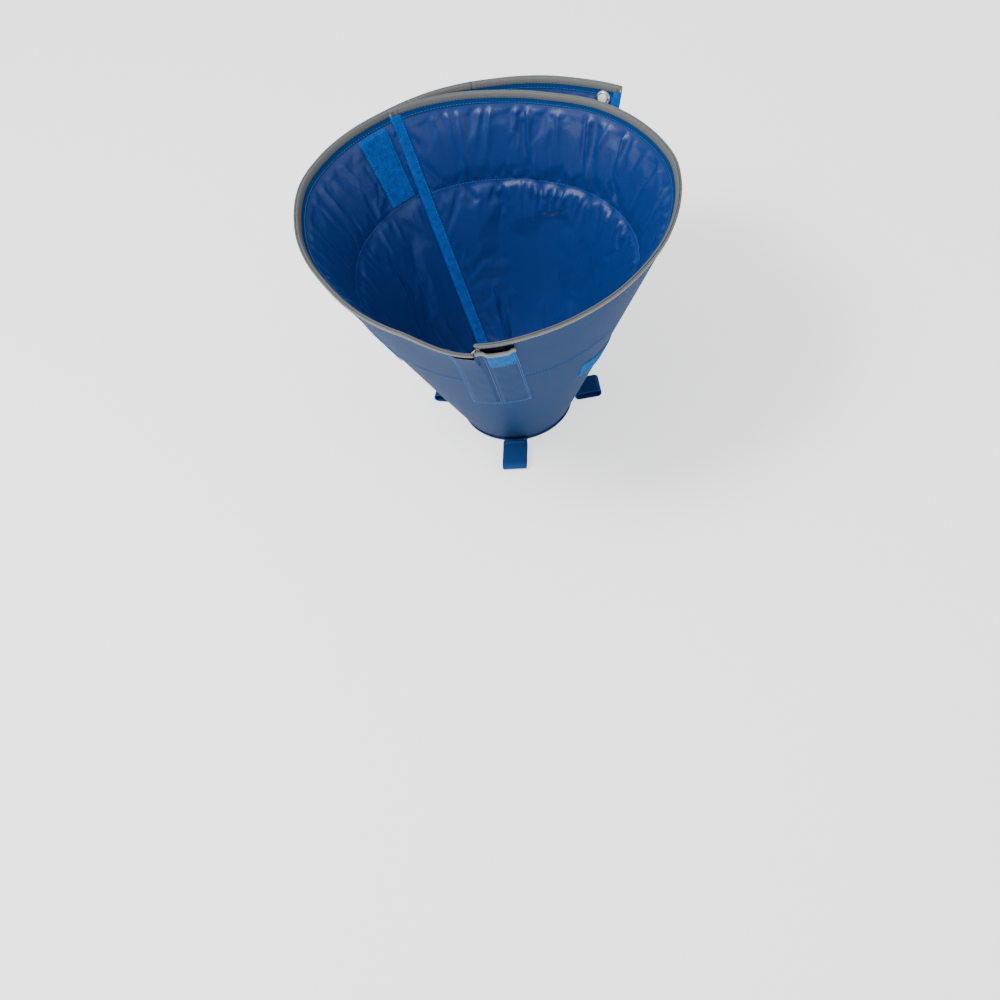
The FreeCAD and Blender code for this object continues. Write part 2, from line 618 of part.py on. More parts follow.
def collar_loop(label, angle, length, on_flap):
    """Elastic webbing sewn into a loop, lying straight out from the neck edge."""
    body = doc.addObject("PartDesign::Body", f"{label}_webbing")
    sketch = start_sketch(body)
    shift = "Dims.flap_shift" if on_flap else "0"
    clear = f"{PROUD} + {GAP} + Dims.webbing_thickness + Dims.loop_room"
    root = radius_at("Dims.loop_root_height", clear, shift)
    radius = "(Dims.loop_height / 2)"
    hole = "(Dims.loop_height / 2 - Dims.webbing_thickness)"
    start = f"({root} + {radius})"
    end = f"({root} + {length} - {radius})"
    slot_outline(sketch, 0, start, end, radius, radius)
    slot_outline(sketch, 4, start, end, radius, hole)
    pad = body.newObject("PartDesign::Pad", f"{label}_pad")
    pad.Profile = sketch
    pad.setExpression("Length", "Dims.webbing_width")
    pad.Midplane = True
    body.Tip = pad
    body.Placement = Placement(Vector(0, 0, 0), Rotation(Vector(0, 0, 1), 10))
    body.setExpression("Placement.Rotation.Angle", f"mod({angle} + 270; 360)")
    if on_flap:
        body.setExpression("Placement.Base.x", "-Dims.flap_shift * sin(Dims.leave_angle * 1 deg)")
        body.setExpression("Placement.Base.y", "Dims.flap_shift * cos(Dims.leave_angle * 1 deg)")
    keep(body, label)


def loop_root(name, angle, on_flap):
    """The webbing's sewn end, flat on the neck binding."""
    low = f"({PROUD} + {GAP})"
    reach = "Dims.neck_radius + Dims.flap_shift" if on_flap else "Dims.neck_radius"
    sweep = f"(Dims.webbing_width / ({reach}) * 180 / pi)"
    outline = band(low, f"({low} + Dims.webbing_thickness)", "Dims.root_lift", "Dims.loop_root_height")
    return sector(name, outline, f"({angle} - {sweep} / 2)", sweep, on_flap)


def build_loops():
    """Four loops for the pet's own collar. The left one is where the outer layer has left the round."""
    places = (
        ("front", "360", "Dims.loop_length", False),
        ("right", "(360 + Dims.side_loop_angle)", "Dims.side_loop_length", False),
        ("left", "(360 - Dims.side_loop_angle)", "Dims.side_loop_length", True),
    )
    for side, angle, length, outer in places:
        collar_loop(f"collar_loop_{side}", angle, length, outer)
    collar_loop("collar_loop_back", "Dims.back_loop_angle", "Dims.loop_length", True)
    roots = doc.addObject("Part::Compound", "roots_on_round")
    roots.Links = [loop_root(f"root_{side}", angle, outer) for side, angle, length, outer in places]
    keep(roots, "collar_loop_roots")
    keep(loop_root("root_back", "Dims.back_loop_angle", on_flap=True), "flap_loop_root")


# ---- build, check and write ----


def check_and_write():
    """Refuses a failed object, then writes one STEP file for each sub-part."""
    doc.recompute()
    for item in doc.Objects:
        if "Invalid" in item.State or "Error" in item.State:
            raise RuntimeError(f"{item.Name} failed: {item.State}")
    os.makedirs("parts", exist_ok=True)
    for node in nodes:
        if node.Shape.isNull() or not node.Shape.isValid():
            raise RuntimeError(f"{node.Label} has no valid shape")
    for node in nodes:
        node.Shape.exportStep(os.path.join("parts", f"{node.Label}.step"))
        print(f"{node.Label}: {len(node.Shape.Solids)} solid, {node.Shape.Volume / 1000:.2f} cm3")


build_panel()
end_binding("inner_end_binding", "Dims.inner_end_angle", 1, on_flap=False)
end_binding("flap_end_binding", "Dims.flap_end_angle", -1, on_flap=True)
build_fasteners()
build_pocket()
build_snap()
build_loops()
check_and_write()
for joint in ("flap_root_angle", "flap_fold_angle"):
    point, up = fold_line(joint)
    print(joint, [round(v, 4) for v in (*point, *up)])
print("stay runs along", [round(v, 5) for v in stay_line()[3]])
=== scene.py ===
"""Soft padded cone collar for a pet: cloth, padding, tapes, webbing and stitching over the fixed frame.

Lengths are metres in the frame's own axes: +Z up the cone from neck to rim, -Y the front. A place on the
padded panel is its angle along the panel in degrees, its height, and its offset, level, from the outer face of
the wall. The panel runs from the flap's free end, round the back, and on past a full turn to the inner end.
"""
import math
from typing import NamedTuple

import bmesh
import bpy
import numpy as np
from bpy.props import FloatProperty, FloatVectorProperty, IntProperty, PointerProperty
from mathutils import Matrix, Vector


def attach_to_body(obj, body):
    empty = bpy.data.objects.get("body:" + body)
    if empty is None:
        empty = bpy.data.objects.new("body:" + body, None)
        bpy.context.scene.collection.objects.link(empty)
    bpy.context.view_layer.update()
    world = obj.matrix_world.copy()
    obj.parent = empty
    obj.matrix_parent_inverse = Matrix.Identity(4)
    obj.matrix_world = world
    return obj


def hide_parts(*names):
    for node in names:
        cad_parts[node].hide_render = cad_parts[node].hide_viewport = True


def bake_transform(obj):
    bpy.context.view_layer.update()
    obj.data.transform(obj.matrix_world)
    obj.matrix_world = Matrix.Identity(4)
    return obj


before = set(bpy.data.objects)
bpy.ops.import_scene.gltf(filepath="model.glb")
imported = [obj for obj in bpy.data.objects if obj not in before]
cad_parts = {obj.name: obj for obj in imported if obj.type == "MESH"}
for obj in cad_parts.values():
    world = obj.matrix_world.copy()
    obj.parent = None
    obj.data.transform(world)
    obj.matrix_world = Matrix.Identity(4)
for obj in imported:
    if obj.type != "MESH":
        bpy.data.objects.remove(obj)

bl_info = {
    "name": "Soft Cone Collar",
    "version": (1, 0, 0),
    "blender": (4, 5, 0),
    "location": "View3D > Sidebar > Soft Cone",
    "description": "Builds the cloth, padding, tapes and stitching of a padded pet cone over its frame",
    "category": "Object",
}

MM = 0.001

# ---- the panel's shape, as the frame has it ----

RIM_RADIUS, NECK_RADIUS, CONE_HEIGHT = 0.190, 0.055, 0.283
SLOPE = (RIM_RADIUS - NECK_RADIUS) / CONE_HEIGHT
LEAN = math.atan(SLOPE)
LEAVE_ANGLE, OUTER_SHIFT = 277.3, 0.018
OUTER_CENTRE = (
    -OUTER_SHIFT * math.sin(math.radians(LEAVE_ANGLE)),
    OUTER_SHIFT * math.cos(math.radians(LEAVE_ANGLE)),
)
FRONT = 360.0
INNER_END, FLAP_END = 575.5, 145.3
ROOT_LINE, FOLD_LINE = 210.0, 175.0
FLAP_SPLIT = 192.5
FOLD_REACH = 0.010

# Offsets of the layers' faces.
SHELL_FACE, PROUD = 0.0, 0.0011
FOAM_OUT, FOAM_IN = -0.0009, -0.0047
LINING_FACE = -0.0055
PROUD_INSIDE = -0.0066

# Heights.
RIM_FOLD_LOW = 0.2785
QUILT_INSIDE, QUILT_OUTSIDE = 0.197, 0.184
NECK_ROLL_HIGH = 0.0057
CLOTH_LOW, CLOTH_TOP = 1.6 * MM, 0.2815
END_TAPE_HIGH = 0.2788

# Angles that take in the whole panel.
WHOLE_PANEL = (0.0, 720.0)

# How far the soft rim stands in or out of round, in millimetres, at places along the panel.
RIM_SETTLE = (
    (145.0, -5.0), (157.0, -10.0), (185.0, -14.0), (222.0, -7.0), (240.0, 2.0), (258.0, 8.0), (274.0, 3.0),
    (303.0, -4.5), (334.0, 1.5), (361.0, 9.5), (375.0, 4.0), (392.0, 0.0), (415.0, -3.0), (440.0, -1.0),
    (465.0, 3.5), (487.0, -2.0), (504.0, -6.0), (520.0, -14.0), (540.0, -14.0), (575.0, 0.5),
)
# Left of the front, the bound rim droops outwards over the pocket, as far as its cut end.
DROOP_FROM, DROOP_TO = 335.0, 358.0
DROOP_DOWN, DROOP_OUT = 0.0065, 0.0055
# The layers are squeezed together where the rim is bound.
RIM_SQUEEZE, SQUEEZE_FROM, SQUEEZE_OVER = 0.30, 0.268, 0.010


def outer_layer(angle):
    """Whether a place lies on the outer layer's own round."""
    return np.asarray(angle) < LEAVE_ANGLE


def smooth_step(value):
    value = np.clip(value, 0.0, 1.0)
    return value * value * (3.0 - 2.0 * value)


def rim_settle(angle):
    """The rim's smooth departure from round."""
    places, depths = np.array(RIM_SETTLE).T
    reach = np.linspace(-8.0, 8.0, 9)
    weight = np.exp(-((reach / 5.0) ** 2))
    return MM * sum(w * np.interp(angle + d, places, depths) for d, w in zip(reach, weight)) / weight.sum()


def rim_droop(angle, height):
    """How much of the rim's droop a place takes, from 0 to 1."""
    along = np.where(angle < DROOP_TO, smooth_step((angle - DROOP_FROM) / (DROOP_TO - 2.0 - DROOP_FROM)), 0.0)
    return along * np.clip((height - 0.20) / 0.08, 0.0, 1.2) ** 2


def wall(angle, height, offset):
    """Points of the panel, from arrays of angle, height and offset."""
    angle, height, offset = np.broadcast_arrays(*(np.asarray(v, float) for v in (angle, height, offset)))
    outer = outer_layer(angle)
    turn = np.radians(angle)
    squeeze = 1.0 - RIM_SQUEEZE * smooth_step((height - SQUEEZE_FROM) / SQUEEZE_OVER)
    offset = np.where(offset < 0.0, offset * squeeze, offset)
    droop = rim_droop(angle, height)
    offset = offset + rim_settle(angle) * (np.clip(height, 0.0, 1.0) / CONE_HEIGHT) ** 2 + DROOP_OUT * droop
    out = NECK_RADIUS + SLOPE * height + offset + np.where(outer, OUTER_SHIFT, 0.0)
    height = height - DROOP_DOWN * droop
    x = np.where(outer, OUTER_CENTRE[0], 0.0) + out * np.sin(turn)
    y = np.where(outer, OUTER_CENTRE[1], 0.0) - out * np.cos(turn)
    return np.stack((x, y, height), axis=-1)


def wall_normal(angle):
    """The outward direction square to the wall."""
    turn = np.radians(np.asarray(angle, float))
    flat = math.cos(LEAN)
    return np.stack((flat * np.sin(turn), -flat * np.cos(turn), np.full_like(turn, -math.sin(LEAN))), axis=-1)


def radius_at(angle, height):
    """Distance of the wall's outer face from the axis of its own round."""
    return NECK_RADIUS + SLOPE * np.asarray(height, float) + np.where(outer_layer(angle), OUTER_SHIFT, 0.0)


def degrees_for(length, angle, height):
    """The turn that a level length along the wall takes."""
    return np.degrees(length / radius_at(angle, height))


def flat_pattern(angle, height):
    """Where a place lies on the panel when it is unrolled flat."""
    angle, height = np.broadcast_arrays(np.asarray(angle, float), np.asarray(height, float))
    reach = radius_at(angle, height) / math.sin(LEAN)
    turn = np.radians(angle - FRONT) * math.sin(LEAN)
    return np.stack((reach * np.sin(turn), reach * np.cos(turn)), axis=-1)


def root_edge(height):
    """The angle, a little past the flap's root, where the cone's own stretch of the panel begins."""
    inner = radius_at(ROOT_LINE, height) + PROUD_INSIDE
    return ROOT_LINE + np.degrees(np.arcsin((FOLD_REACH + MM) / inner))


PARTS = {
    "cone": {"low": root_edge, "high": lambda height: INNER_END + 0.0 * height},
    "root": {"low": lambda height: FLAP_SPLIT + 0.0 * height, "high": root_edge},
    "tip": {"low": lambda height: FLAP_END + 0.0 * height, "high": lambda height: FLAP_SPLIT + 0.0 * height},
}


def part_angles(part, heights, step):
    """Angles along one stretch of the panel: a row for each station, a column for each height."""
    heights = np.asarray(heights, float)
    low, high = PARTS[part]["low"](heights), PARTS[part]["high"](heights)
    count = int(math.ceil(float(np.max(high - low)) / step)) + 1
    share = np.linspace(0.0, 1.0, count)[:, None]
    return low + (high - low) * share


def bump(value, width):
    """A rounded rise of height one."""
    return np.exp(-((value / width) ** 2))


def crest(value, width):
    """A rise of height one with a narrow top, as a fold of thin cloth has."""
    return np.exp(-(np.abs(value / width) ** 1.25))


# ---- meshes ----


def mesh_object(name, points, faces, flat=None, closed=False):
    """A shaded mesh in the scene. flat holds each vertex's place on the flat cloth."""
    mesh = bpy.data.meshes.new(name)
    mesh.from_pydata(points.reshape(-1, 3).tolist(), [], faces)
    if closed:
        work = bmesh.new()
        work.from_mesh(mesh)
        bmesh.ops.recalc_face_normals(work, faces=work.faces)
        work.to_mesh(mesh)
        work.free()
    mesh.shade_smooth()
    if flat is not None:
        corners = np.zeros(len(mesh.loops), np.int32)
        mesh.loops.foreach_get("vertex_index", corners)
        layer = mesh.uv_layers.new(name="Cloth")
        layer.data.foreach_set("uv", flat.reshape(-1, 2)[corners].astype(np.float32).ravel())
    obj = bpy.data.objects.new(name, mesh)
    bpy.context.scene.collection.objects.link(obj)
    return obj


def grid_faces(rows, columns, wrap_columns=False, wrap_rows=False, caps=False, flip=False):
    """Quads over a grid of points, with n-sided ends if asked."""
    index = np.arange(rows * columns).reshape(rows, columns)
    first, last = index[0].tolist(), index[-1].tolist()
    if wrap_columns:
        index = np.hstack((index, index[:, :1]))
    if wrap_rows:
        index = np.vstack((index, index[:1]))
    quads = np.stack((index[:-1, :-1], index[1:, :-1], index[1:, 1:], index[:-1, 1:]), axis=-1).reshape(-1, 4)
    if flip:
        quads = quads[:, ::-1]
    faces = quads.tolist()
    if caps:
        faces += [first, last[::-1]]
    return faces


def panel_sheet(name, angle, height, offset, inside=False):
    """An open sheet on the panel, facing outwards or into the cone."""
    angle, height, offset = np.broadcast_arrays(angle, height, offset)
    faces = grid_faces(*angle.shape, flip=inside)
    return mesh_object(name, wall(angle, height, offset), faces, flat_pattern(angle, height))


def panel_tape(name, angle, height, offset):
    """A closed tape: each row is one cross section."""
    angle, height, offset = np.broadcast_arrays(angle, height, offset)
    faces = grid_faces(*angle.shape, wrap_columns=True, caps=True)
    return mesh_object(name, wall(angle, height, offset), faces, flat_pattern(angle, height), closed=True)


def rounded(profile, passes=2):
    """A closed outline with its corners cut smoothly."""
    points = np.array(profile, float)
    for _ in range(passes):
        following = np.roll(points, -1, axis=0)
        near, far = 0.75 * points + 0.25 * following, 0.25 * points + 0.75 * following
        points = np.stack((near, far), axis=1).reshape(-1, 2)
    return points


def waver(angle, seed, waves=(3.1, 7.3, 13.7, 29.0)):
    """A gentle unevenness along a hand-fed tape, about -1 to 1."""
    turn = np.radians(np.asarray(angle, float))
    total = sum(np.sin(turn * k + seed * (i + 1.7)) / (i + 1.0) for i, k in enumerate(waves))
    return total / 2.0


def edge_tape(name, part, profile, step, seed, amount=0.25 * MM, between=WHOLE_PANEL, round_end=False):
    """A folded tape along the panel's rim or neck, from offsets and heights of its section in millimetres.

    between keeps only the stretch between two angles. round_end tucks its first end in to a rounded fold.
    """
    outline = rounded(profile) * MM
    level = float(outline[:, 1].mean())
    angles = np.ravel(part_angles(part, [level], step))
    first, last = max(angles[0], between[0]), min(angles[-1], between[1])
    inner = angles[(angles > first + 0.3 * step) & (angles < last - 0.3 * step)]
    angles = np.concatenate(([first], inner, [last]))[:, None]
    shift = waver(angles, seed) * amount
    tuck = np.ones_like(angles)
    if round_end:
        near = np.clip(np.radians(angles - angles[0]) * RIM_RADIUS / (2.5 * MM), 0.0, 1.0)
        tuck = 0.25 + 0.75 * np.sqrt(near * (2.0 - near))
    middle = outline.mean(axis=0)
    offset = middle[0] + (outline[None, :, 0] - middle[0]) * tuck + shift
    height = middle[1] + (outline[None, :, 1] - middle[1]) * tuck + 0.5 * shift
    return panel_tape(name, angles, height, offset)


# ---- materials ----


def new_group(name, inputs, outputs):
    """An empty node group with its sockets."""
    group = bpy.data.node_groups.new(name, "ShaderNodeTree")
    for title, kind, default in inputs:
        socket = group.interface.new_socket(title, in_out="INPUT", socket_type=kind)
        if default is not None:
            socket.default_value = default
    for title, kind in outputs:
        group.interface.new_socket(title, in_out="OUTPUT", socket_type=kind)
    return group, group.nodes.new("NodeGroupInput"), group.nodes.new("NodeGroupOutput")


def math_node(tree, operation, first, second):
    """One sum, whose terms are sockets or plain numbers."""
    node = tree.nodes.new("ShaderNodeMath")
    node.operation = operation
    for socket, term in zip(node.inputs, (first, second)):
        if isinstance(term, bpy.types.NodeSocket):
            tree.links.new(term, socket)
        else:
            socket.default_value = term
    return node.outputs[0]


def noise_node(tree, vector, scale, detail=2.0, roughness=0.5):
    """Soft noise from 0 to 1, about one half."""
    node = tree.nodes.new("ShaderNodeTexNoise")
    node.inputs["Detail"].default_value = detail
    node.inputs["Roughness"].default_value = roughness
    if isinstance(scale, bpy.types.NodeSocket):
        tree.links.new(scale, node.inputs["Scale"])
    else:
        node.inputs["Scale"].default_value = scale
    tree.links.new(vector, node.inputs["Vector"])
    return node.outputs[0]


def woven_group():
    """Plain weave with uneven threads. Shade darkens the gaps and Height raises the threads."""
    group, given, result = new_group(
        "woven_threads",
        [("Cloth", "NodeSocketVector", None), ("Threads per metre", "NodeSocketFloat", 2200.0),
         ("Unevenness", "NodeSocketFloat", 0.3)],
        [("Shade", "NodeSocketFloat"), ("Height", "NodeSocketFloat")],
    )
    cloth, threads, uneven = (given.outputs[name] for name in ("Cloth", "Threads per metre", "Unevenness"))
    split = group.nodes.new("ShaderNodeSeparateXYZ")
    group.links.new(cloth, split.inputs[0])
    turn = math_node(group, "MULTIPLY", threads, math.pi)
    waves = [
        math_node(group, "SINE", math_node(group, "MULTIPLY", split.outputs[i], turn), 0.0) for i in range(2)
    ]
    crossing = math_node(group, "MULTIPLY", *waves)
    slub = noise_node(group, cloth, math_node(group, "MULTIPLY", threads, 0.11), detail=3.0)
    soft = math_node(group, "MULTIPLY", math_node(group, "SUBTRACT", slub, 0.5), uneven)
    height = math_node(group, "ADD", math_node(group, "MULTIPLY", crossing, 0.5), soft)
    group.links.new(height, result.inputs["Height"])
    shade = math_node(group, "ADD", math_node(group, "MULTIPLY", height, 0.35), 0.85)
    group.links.new(shade, result.inputs["Shade"])
    return group


def pile_group():
    """Brushed loop pile: a clumped, speckled fuzz."""
    group, given, result = new_group(
        "brushed_pile",
        [("Place", "NodeSocketVector", None), ("Loops per metre", "NodeSocketFloat", 700.0)],
        [("Shade", "NodeSocketFloat"), ("Height", "NodeSocketFloat")],
    )
    place, loops = given.outputs["Place"], given.outputs["Loops per metre"]
    fine = noise_node(group, place, loops, detail=4.0, roughness=0.75)
    clump = noise_node(group, place, math_node(group, "MULTIPLY", loops, 0.22), detail=2.0)
    loose = math_node(group, "MULTIPLY", fine, 0.65)
    gathered = math_node(group, "MULTIPLY", clump, 0.35)
    mixed = math_node(group, "ADD", loose, gathered)
    group.links.new(mixed, result.inputs["Height"])
    contrast = math_node(group, "MULTIPLY", math_node(group, "SUBTRACT", mixed, 0.5), 2.4)
    shade = math_node(group, "ADD", contrast, 0.95)
    group.links.new(shade, result.inputs["Shade"])
    return group


def wear_group():
    """Slow patches of handling and light dust."""
    group, given, result = new_group(
        "soft_wear",
        [("Place", "NodeSocketVector", None), ("Roughness", "NodeSocketFloat", 0.5),
         ("Amount", "NodeSocketFloat", 0.1)],
        [("Shade", "NodeSocketFloat"), ("Roughness", "NodeSocketFloat")],
    )
    patches = noise_node(group, given.outputs["Place"], 16.0, detail=5.0, roughness=0.6)
    swing = math_node(group, "MULTIPLY", math_node(group, "SUBTRACT", patches, 0.5), given.outputs["Amount"])
    group.links.new(math_node(group, "ADD", 1.0, swing), result.inputs["Shade"])
    group.links.new(math_node(group, "ADD", given.outputs["Roughness"], swing), result.inputs["Roughness"])
    return group


GROUPS = {"woven_threads": woven_group, "brushed_pile": pile_group, "soft_wear": wear_group}


def group_node(tree, name):
    """A node of one of the shared groups, made the first time it is used."""
    node = tree.nodes.new("ShaderNodeGroup")
    node.node_tree = bpy.data.node_groups.get(name) or GROUPS[name]()
    return node


def shaded_colour(tree, colour, *shades):
    """The colour times the shades, as a socket."""
    mix = tree.nodes.new("ShaderNodeVectorMath")
    mix.operation = "SCALE"
    mix.inputs[0].default_value = colour
    total = shades[0]
    for shade in shades[1:]:
        total = math_node(tree, "MULTIPLY", total, shade)
    tree.links.new(total, mix.inputs["Scale"])
    return mix.outputs[0]


def material(name, colour, roughness, *, weave=None, pile=None, depth=0.12, metal=0.0, specular=0.5, wear=0.12):
    """A cloth, plastic or metal finish, named apart from the frame's own plain materials.

    weave is threads to the metre, pile is loops to the metre, and depth is the relief in millimetres.
    """
    title = f"{name}_finish"
    known = bpy.data.materials.get(title)
    if known:
        return known
    made = bpy.data.materials.new(title)
    made.use_nodes = True
    tree = made.node_tree
    shader = tree.nodes["Principled BSDF"]
    places = tree.nodes.new("ShaderNodeTexCoord")
    worn = group_node(tree, "soft_wear")
    worn.inputs["Roughness"].default_value = roughness
    worn.inputs["Amount"].default_value = wear
    tree.links.new(places.outputs["Object"], worn.inputs["Place"])
    shades = [worn.outputs["Shade"]]
    tree.links.new(worn.outputs["Roughness"], shader.inputs["Roughness"])
    relief = None
    if weave:
        relief = group_node(tree, "woven_threads")
        relief.inputs["Threads per metre"].default_value = weave
        tree.links.new(places.outputs["UV"], relief.inputs["Cloth"])
    elif pile:
        relief = group_node(tree, "brushed_pile")
        relief.inputs["Loops per metre"].default_value = pile
        tree.links.new(places.outputs["Object"], relief.inputs["Place"])
    if relief:
        shades.append(relief.outputs["Shade"])
        rise = tree.nodes.new("ShaderNodeBump")
        rise.inputs["Distance"].default_value = depth * MM
        tree.links.new(relief.outputs["Height"], rise.inputs["Height"])
        tree.links.new(rise.outputs["Normal"], shader.inputs["Normal"])
    tree.links.new(shaded_colour(tree, colour, *shades), shader.inputs["Base Color"])
    shader.inputs["Metallic"].default_value = metal
    shader.inputs["Specular IOR Level"].default_value = specular
    return made


def look():
    """The colours that the user has set."""
    return bpy.context.scene.soft_cone_look


# For each of the frame's slots: its colour's name, its roughness, and the rest of its finish.
FINISHES = {
    "shell_nylon": ("shell", 0.6, {"weave": 1900, "depth": 0.10, "specular": 0.06}),
    "foam": ("foam", 0.9, {"pile": 1500, "depth": 0.2}),
    "lining_nylon": ("lining", 0.33, {"weave": 2600, "depth": 0.06, "specular": 0.5, "wear": 0.08}),
    "reflective_binding": ("binding", 0.5, {"weave": 1500, "depth": 0.10, "specular": 0.3}),
    "facing_tape": ("facing", 0.6, {"weave": 1300, "depth": 0.14, "specular": 0.05}),
    "neck_tape": ("neck_tape", 0.6, {"weave": 1300, "depth": 0.14, "specular": 0.25}),
    "brushed_loop": ("brushed", 0.85, {"pile": 750, "depth": 0.6, "specular": 0.0}),
    "light_loop": ("light_loop", 0.85, {"pile": 750, "depth": 0.6, "specular": 0.0}),
    "hook_tape": ("hook", 0.55, {"pile": 1400, "depth": 0.5, "specular": 0.1}),
    "stay_plastic": ("stay", 0.35, {"specular": 0.5, "wear": 0.05}),
    "snap_metal": ("metal", 0.22, {"metal": 1.0, "wear": 0.08}),
    # The snap's white insert: its white colour is a painted highlight, standing for the bright reflection at
    # the metal snap's centre.
    "snap_plastic": ("insert", 0.35, {"wear": 0.04}),
    "webbing": ("webbing", 0.7, {"weave": 900, "depth": 0.22, "specular": 0.04}),
}


def finish_for(slot):
    """The material of one of the frame's material slots."""
    name, roughness, rest = FINISHES[slot]
    return material(slot, getattr(look(), name), roughness, **rest)


# ---- putting pieces on the frame ----


# The stretches that bend: the line each turns about, and the two bodies that it joins.
BENDS = {"root": (ROOT_LINE, ("cone", "flap_root")), "tip": (FOLD_LINE, ("flap_root", "flap_tip"))}


def attach(obj, part):
    """Bakes a piece on a bending stretch into place as it stands, or fixes it to one stiff body."""
    if part in BENDS:
        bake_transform(obj)
    else:
        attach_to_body(obj, part)
    return obj


def dress(obj, part, slot, *nodes):
    """Gives a piece its finish, its place on the frame, and the frame's nodes that it stands for."""
    obj.data.materials.clear()
    obj.data.materials.append(finish_for(slot))
    attach(obj, part)
    if nodes:
        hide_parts(*nodes)
    return obj


# ---- lining: gathers, puckers and the cloth's own slack ----

STRONG_FROM, STRONG_TO = 400.0, 545.0
# The snap's place on the flap's lining, along from the flap's end and up, and its stud's place on the cone.
SNAP_INSET, SNAP_HIGH = 0.0175, 0.2715
STUD_ANGLE, STUD_HIGH = 498.5, 0.2675
# Where the lining is held: above this height, under each end tape, and this near to the snap.
HELD_FROM = 0.2665
INNER_TAPE_WIDE, FLAP_TAPE_WIDE, SNAP_CLEAR = 10.0 * MM, 7.0 * MM, 9.0 * MM


def crease_strength(angle):
    """The right side is gathered hardest, and the flap hardly at all."""
    rise = smooth_step((angle - STRONG_FROM) / 30.0) * smooth_step((STRONG_TO + 30.0 - angle) / 30.0)
    return np.where(angle < 217.0, 0.22, 0.55 + 0.6 * rise)


def add_creases(depth, angle, share, rng, count, size, reach, width, from_top):
    """Raises folds that start at one edge of a stretch of cloth and die away across it.

    share is how far each place lies across the stretch, from 0 at its lower seam to 1 at its upper one.
    """
    low, high = float(angle.min()), float(angle.max())
    centres = np.linspace(low, high, count) + rng.uniform(-0.45, 0.45, count) * (high - low) / count
    across = 1.0 - share if from_top else share
    for centre in centres:
        lean = rng.normal(0.0, 5.0)
        half = width * rng.uniform(0.6, 1.5)
        length = reach * rng.uniform(0.55, 1.35)
        tall = size * rng.uniform(0.35, 1.0)
        away = angle - centre - lean * across
        near = np.abs(away) < 5.0 * half
        spread = half * (1.0 + 0.9 * across)
        fold = crest(away, spread) - 0.5 * bump(away - 1.7 * spread, 1.2 * spread)
        fade = smooth_step(across * 14.0) * (1.0 - smooth_step(across / length)) ** 1.2
        depth += np.where(near, fold * fade * tall, 0.0)
    return depth


def lining_free(angle, height):
    """One where the lining is free to lift, and nothing where a tape or the snap is sewn over it."""
    free = 1.0 - smooth_step((height - HELD_FROM) / (4.0 * MM))
    edge = 1.5 * MM
    covers = [strip for strip in STRIPS.values() if not strip.outside]
    for strip in covers:
        across = np.radians(np.minimum(angle - strip.first, strip.last - angle)) * radius_at(angle, height)
        high = strip_height(strip, angle, 1.0)
        rise = np.minimum(height - strip_height(strip, angle, 0.0), high - height)
        free = free * (1.0 - smooth_step(1.0 + np.minimum(across, rise) / edge))
    inner = np.radians(INNER_END - angle) * radius_at(angle, height)
    flap = np.radians(angle - FLAP_END) * radius_at(angle, height)
    free = free * smooth_step((inner - INNER_TAPE_WIDE) / edge) * smooth_step((flap - FLAP_TAPE_WIDE) / edge)
    snap = np.hypot(flap - SNAP_INSET, height - SNAP_HIGH)
    return free * smooth_step((snap - SNAP_CLEAR) / edge)


def lining_lift(angle, height, sizes):
    """How far the lining stands off its foam, before it is relaxed as cloth."""
    rng = np.random.default_rng(sizes.seed)
    upper = np.clip((height - QUILT_INSIDE) / (RIM_FOLD_LOW - QUILT_INSIDE), 0.0, 1.0)
    lower = np.clip((height - NECK_ROLL_HIGH) / (QUILT_INSIDE - NECK_ROLL_HIGH), 0.0, 1.0)
    above = height > QUILT_INSIDE
    puff = np.where(above, np.sin(math.pi * upper) ** 0.7, 0.8 * np.sin(math.pi * lower ** 1.6) ** 0.7)
    lift = sizes.puff * puff
    folds = np.zeros_like(lift)
    span = float(angle.max() - angle.min())
    crease = sizes.gather
    add_creases(folds, angle, upper, rng, int(span / 6.0), crease, 0.95, 0.95, from_top=True)
    add_creases(folds, angle, upper, rng, int(span / 5.0), 0.6 * crease, 0.5, 0.8, from_top=False)
    low_folds = np.zeros_like(lift)
    add_creases(low_folds, angle, lower, rng, int(span / 4.0), 0.9 * crease, 0.2, 0.9, from_top=True)
    add_creases(low_folds, angle, lower, rng, int(span / 14.0), 0.7 * crease, 0.7, 2.0, from_top=False)
    lift = lift + np.where(above, folds, low_folds) * crease_strength(angle)
    seam = 1.0 - 0.97 * bump(height - QUILT_INSIDE, 2.6 * MM)
    return np.maximum(lift, -0.3 * MM) * seam * lining_free(angle, height)


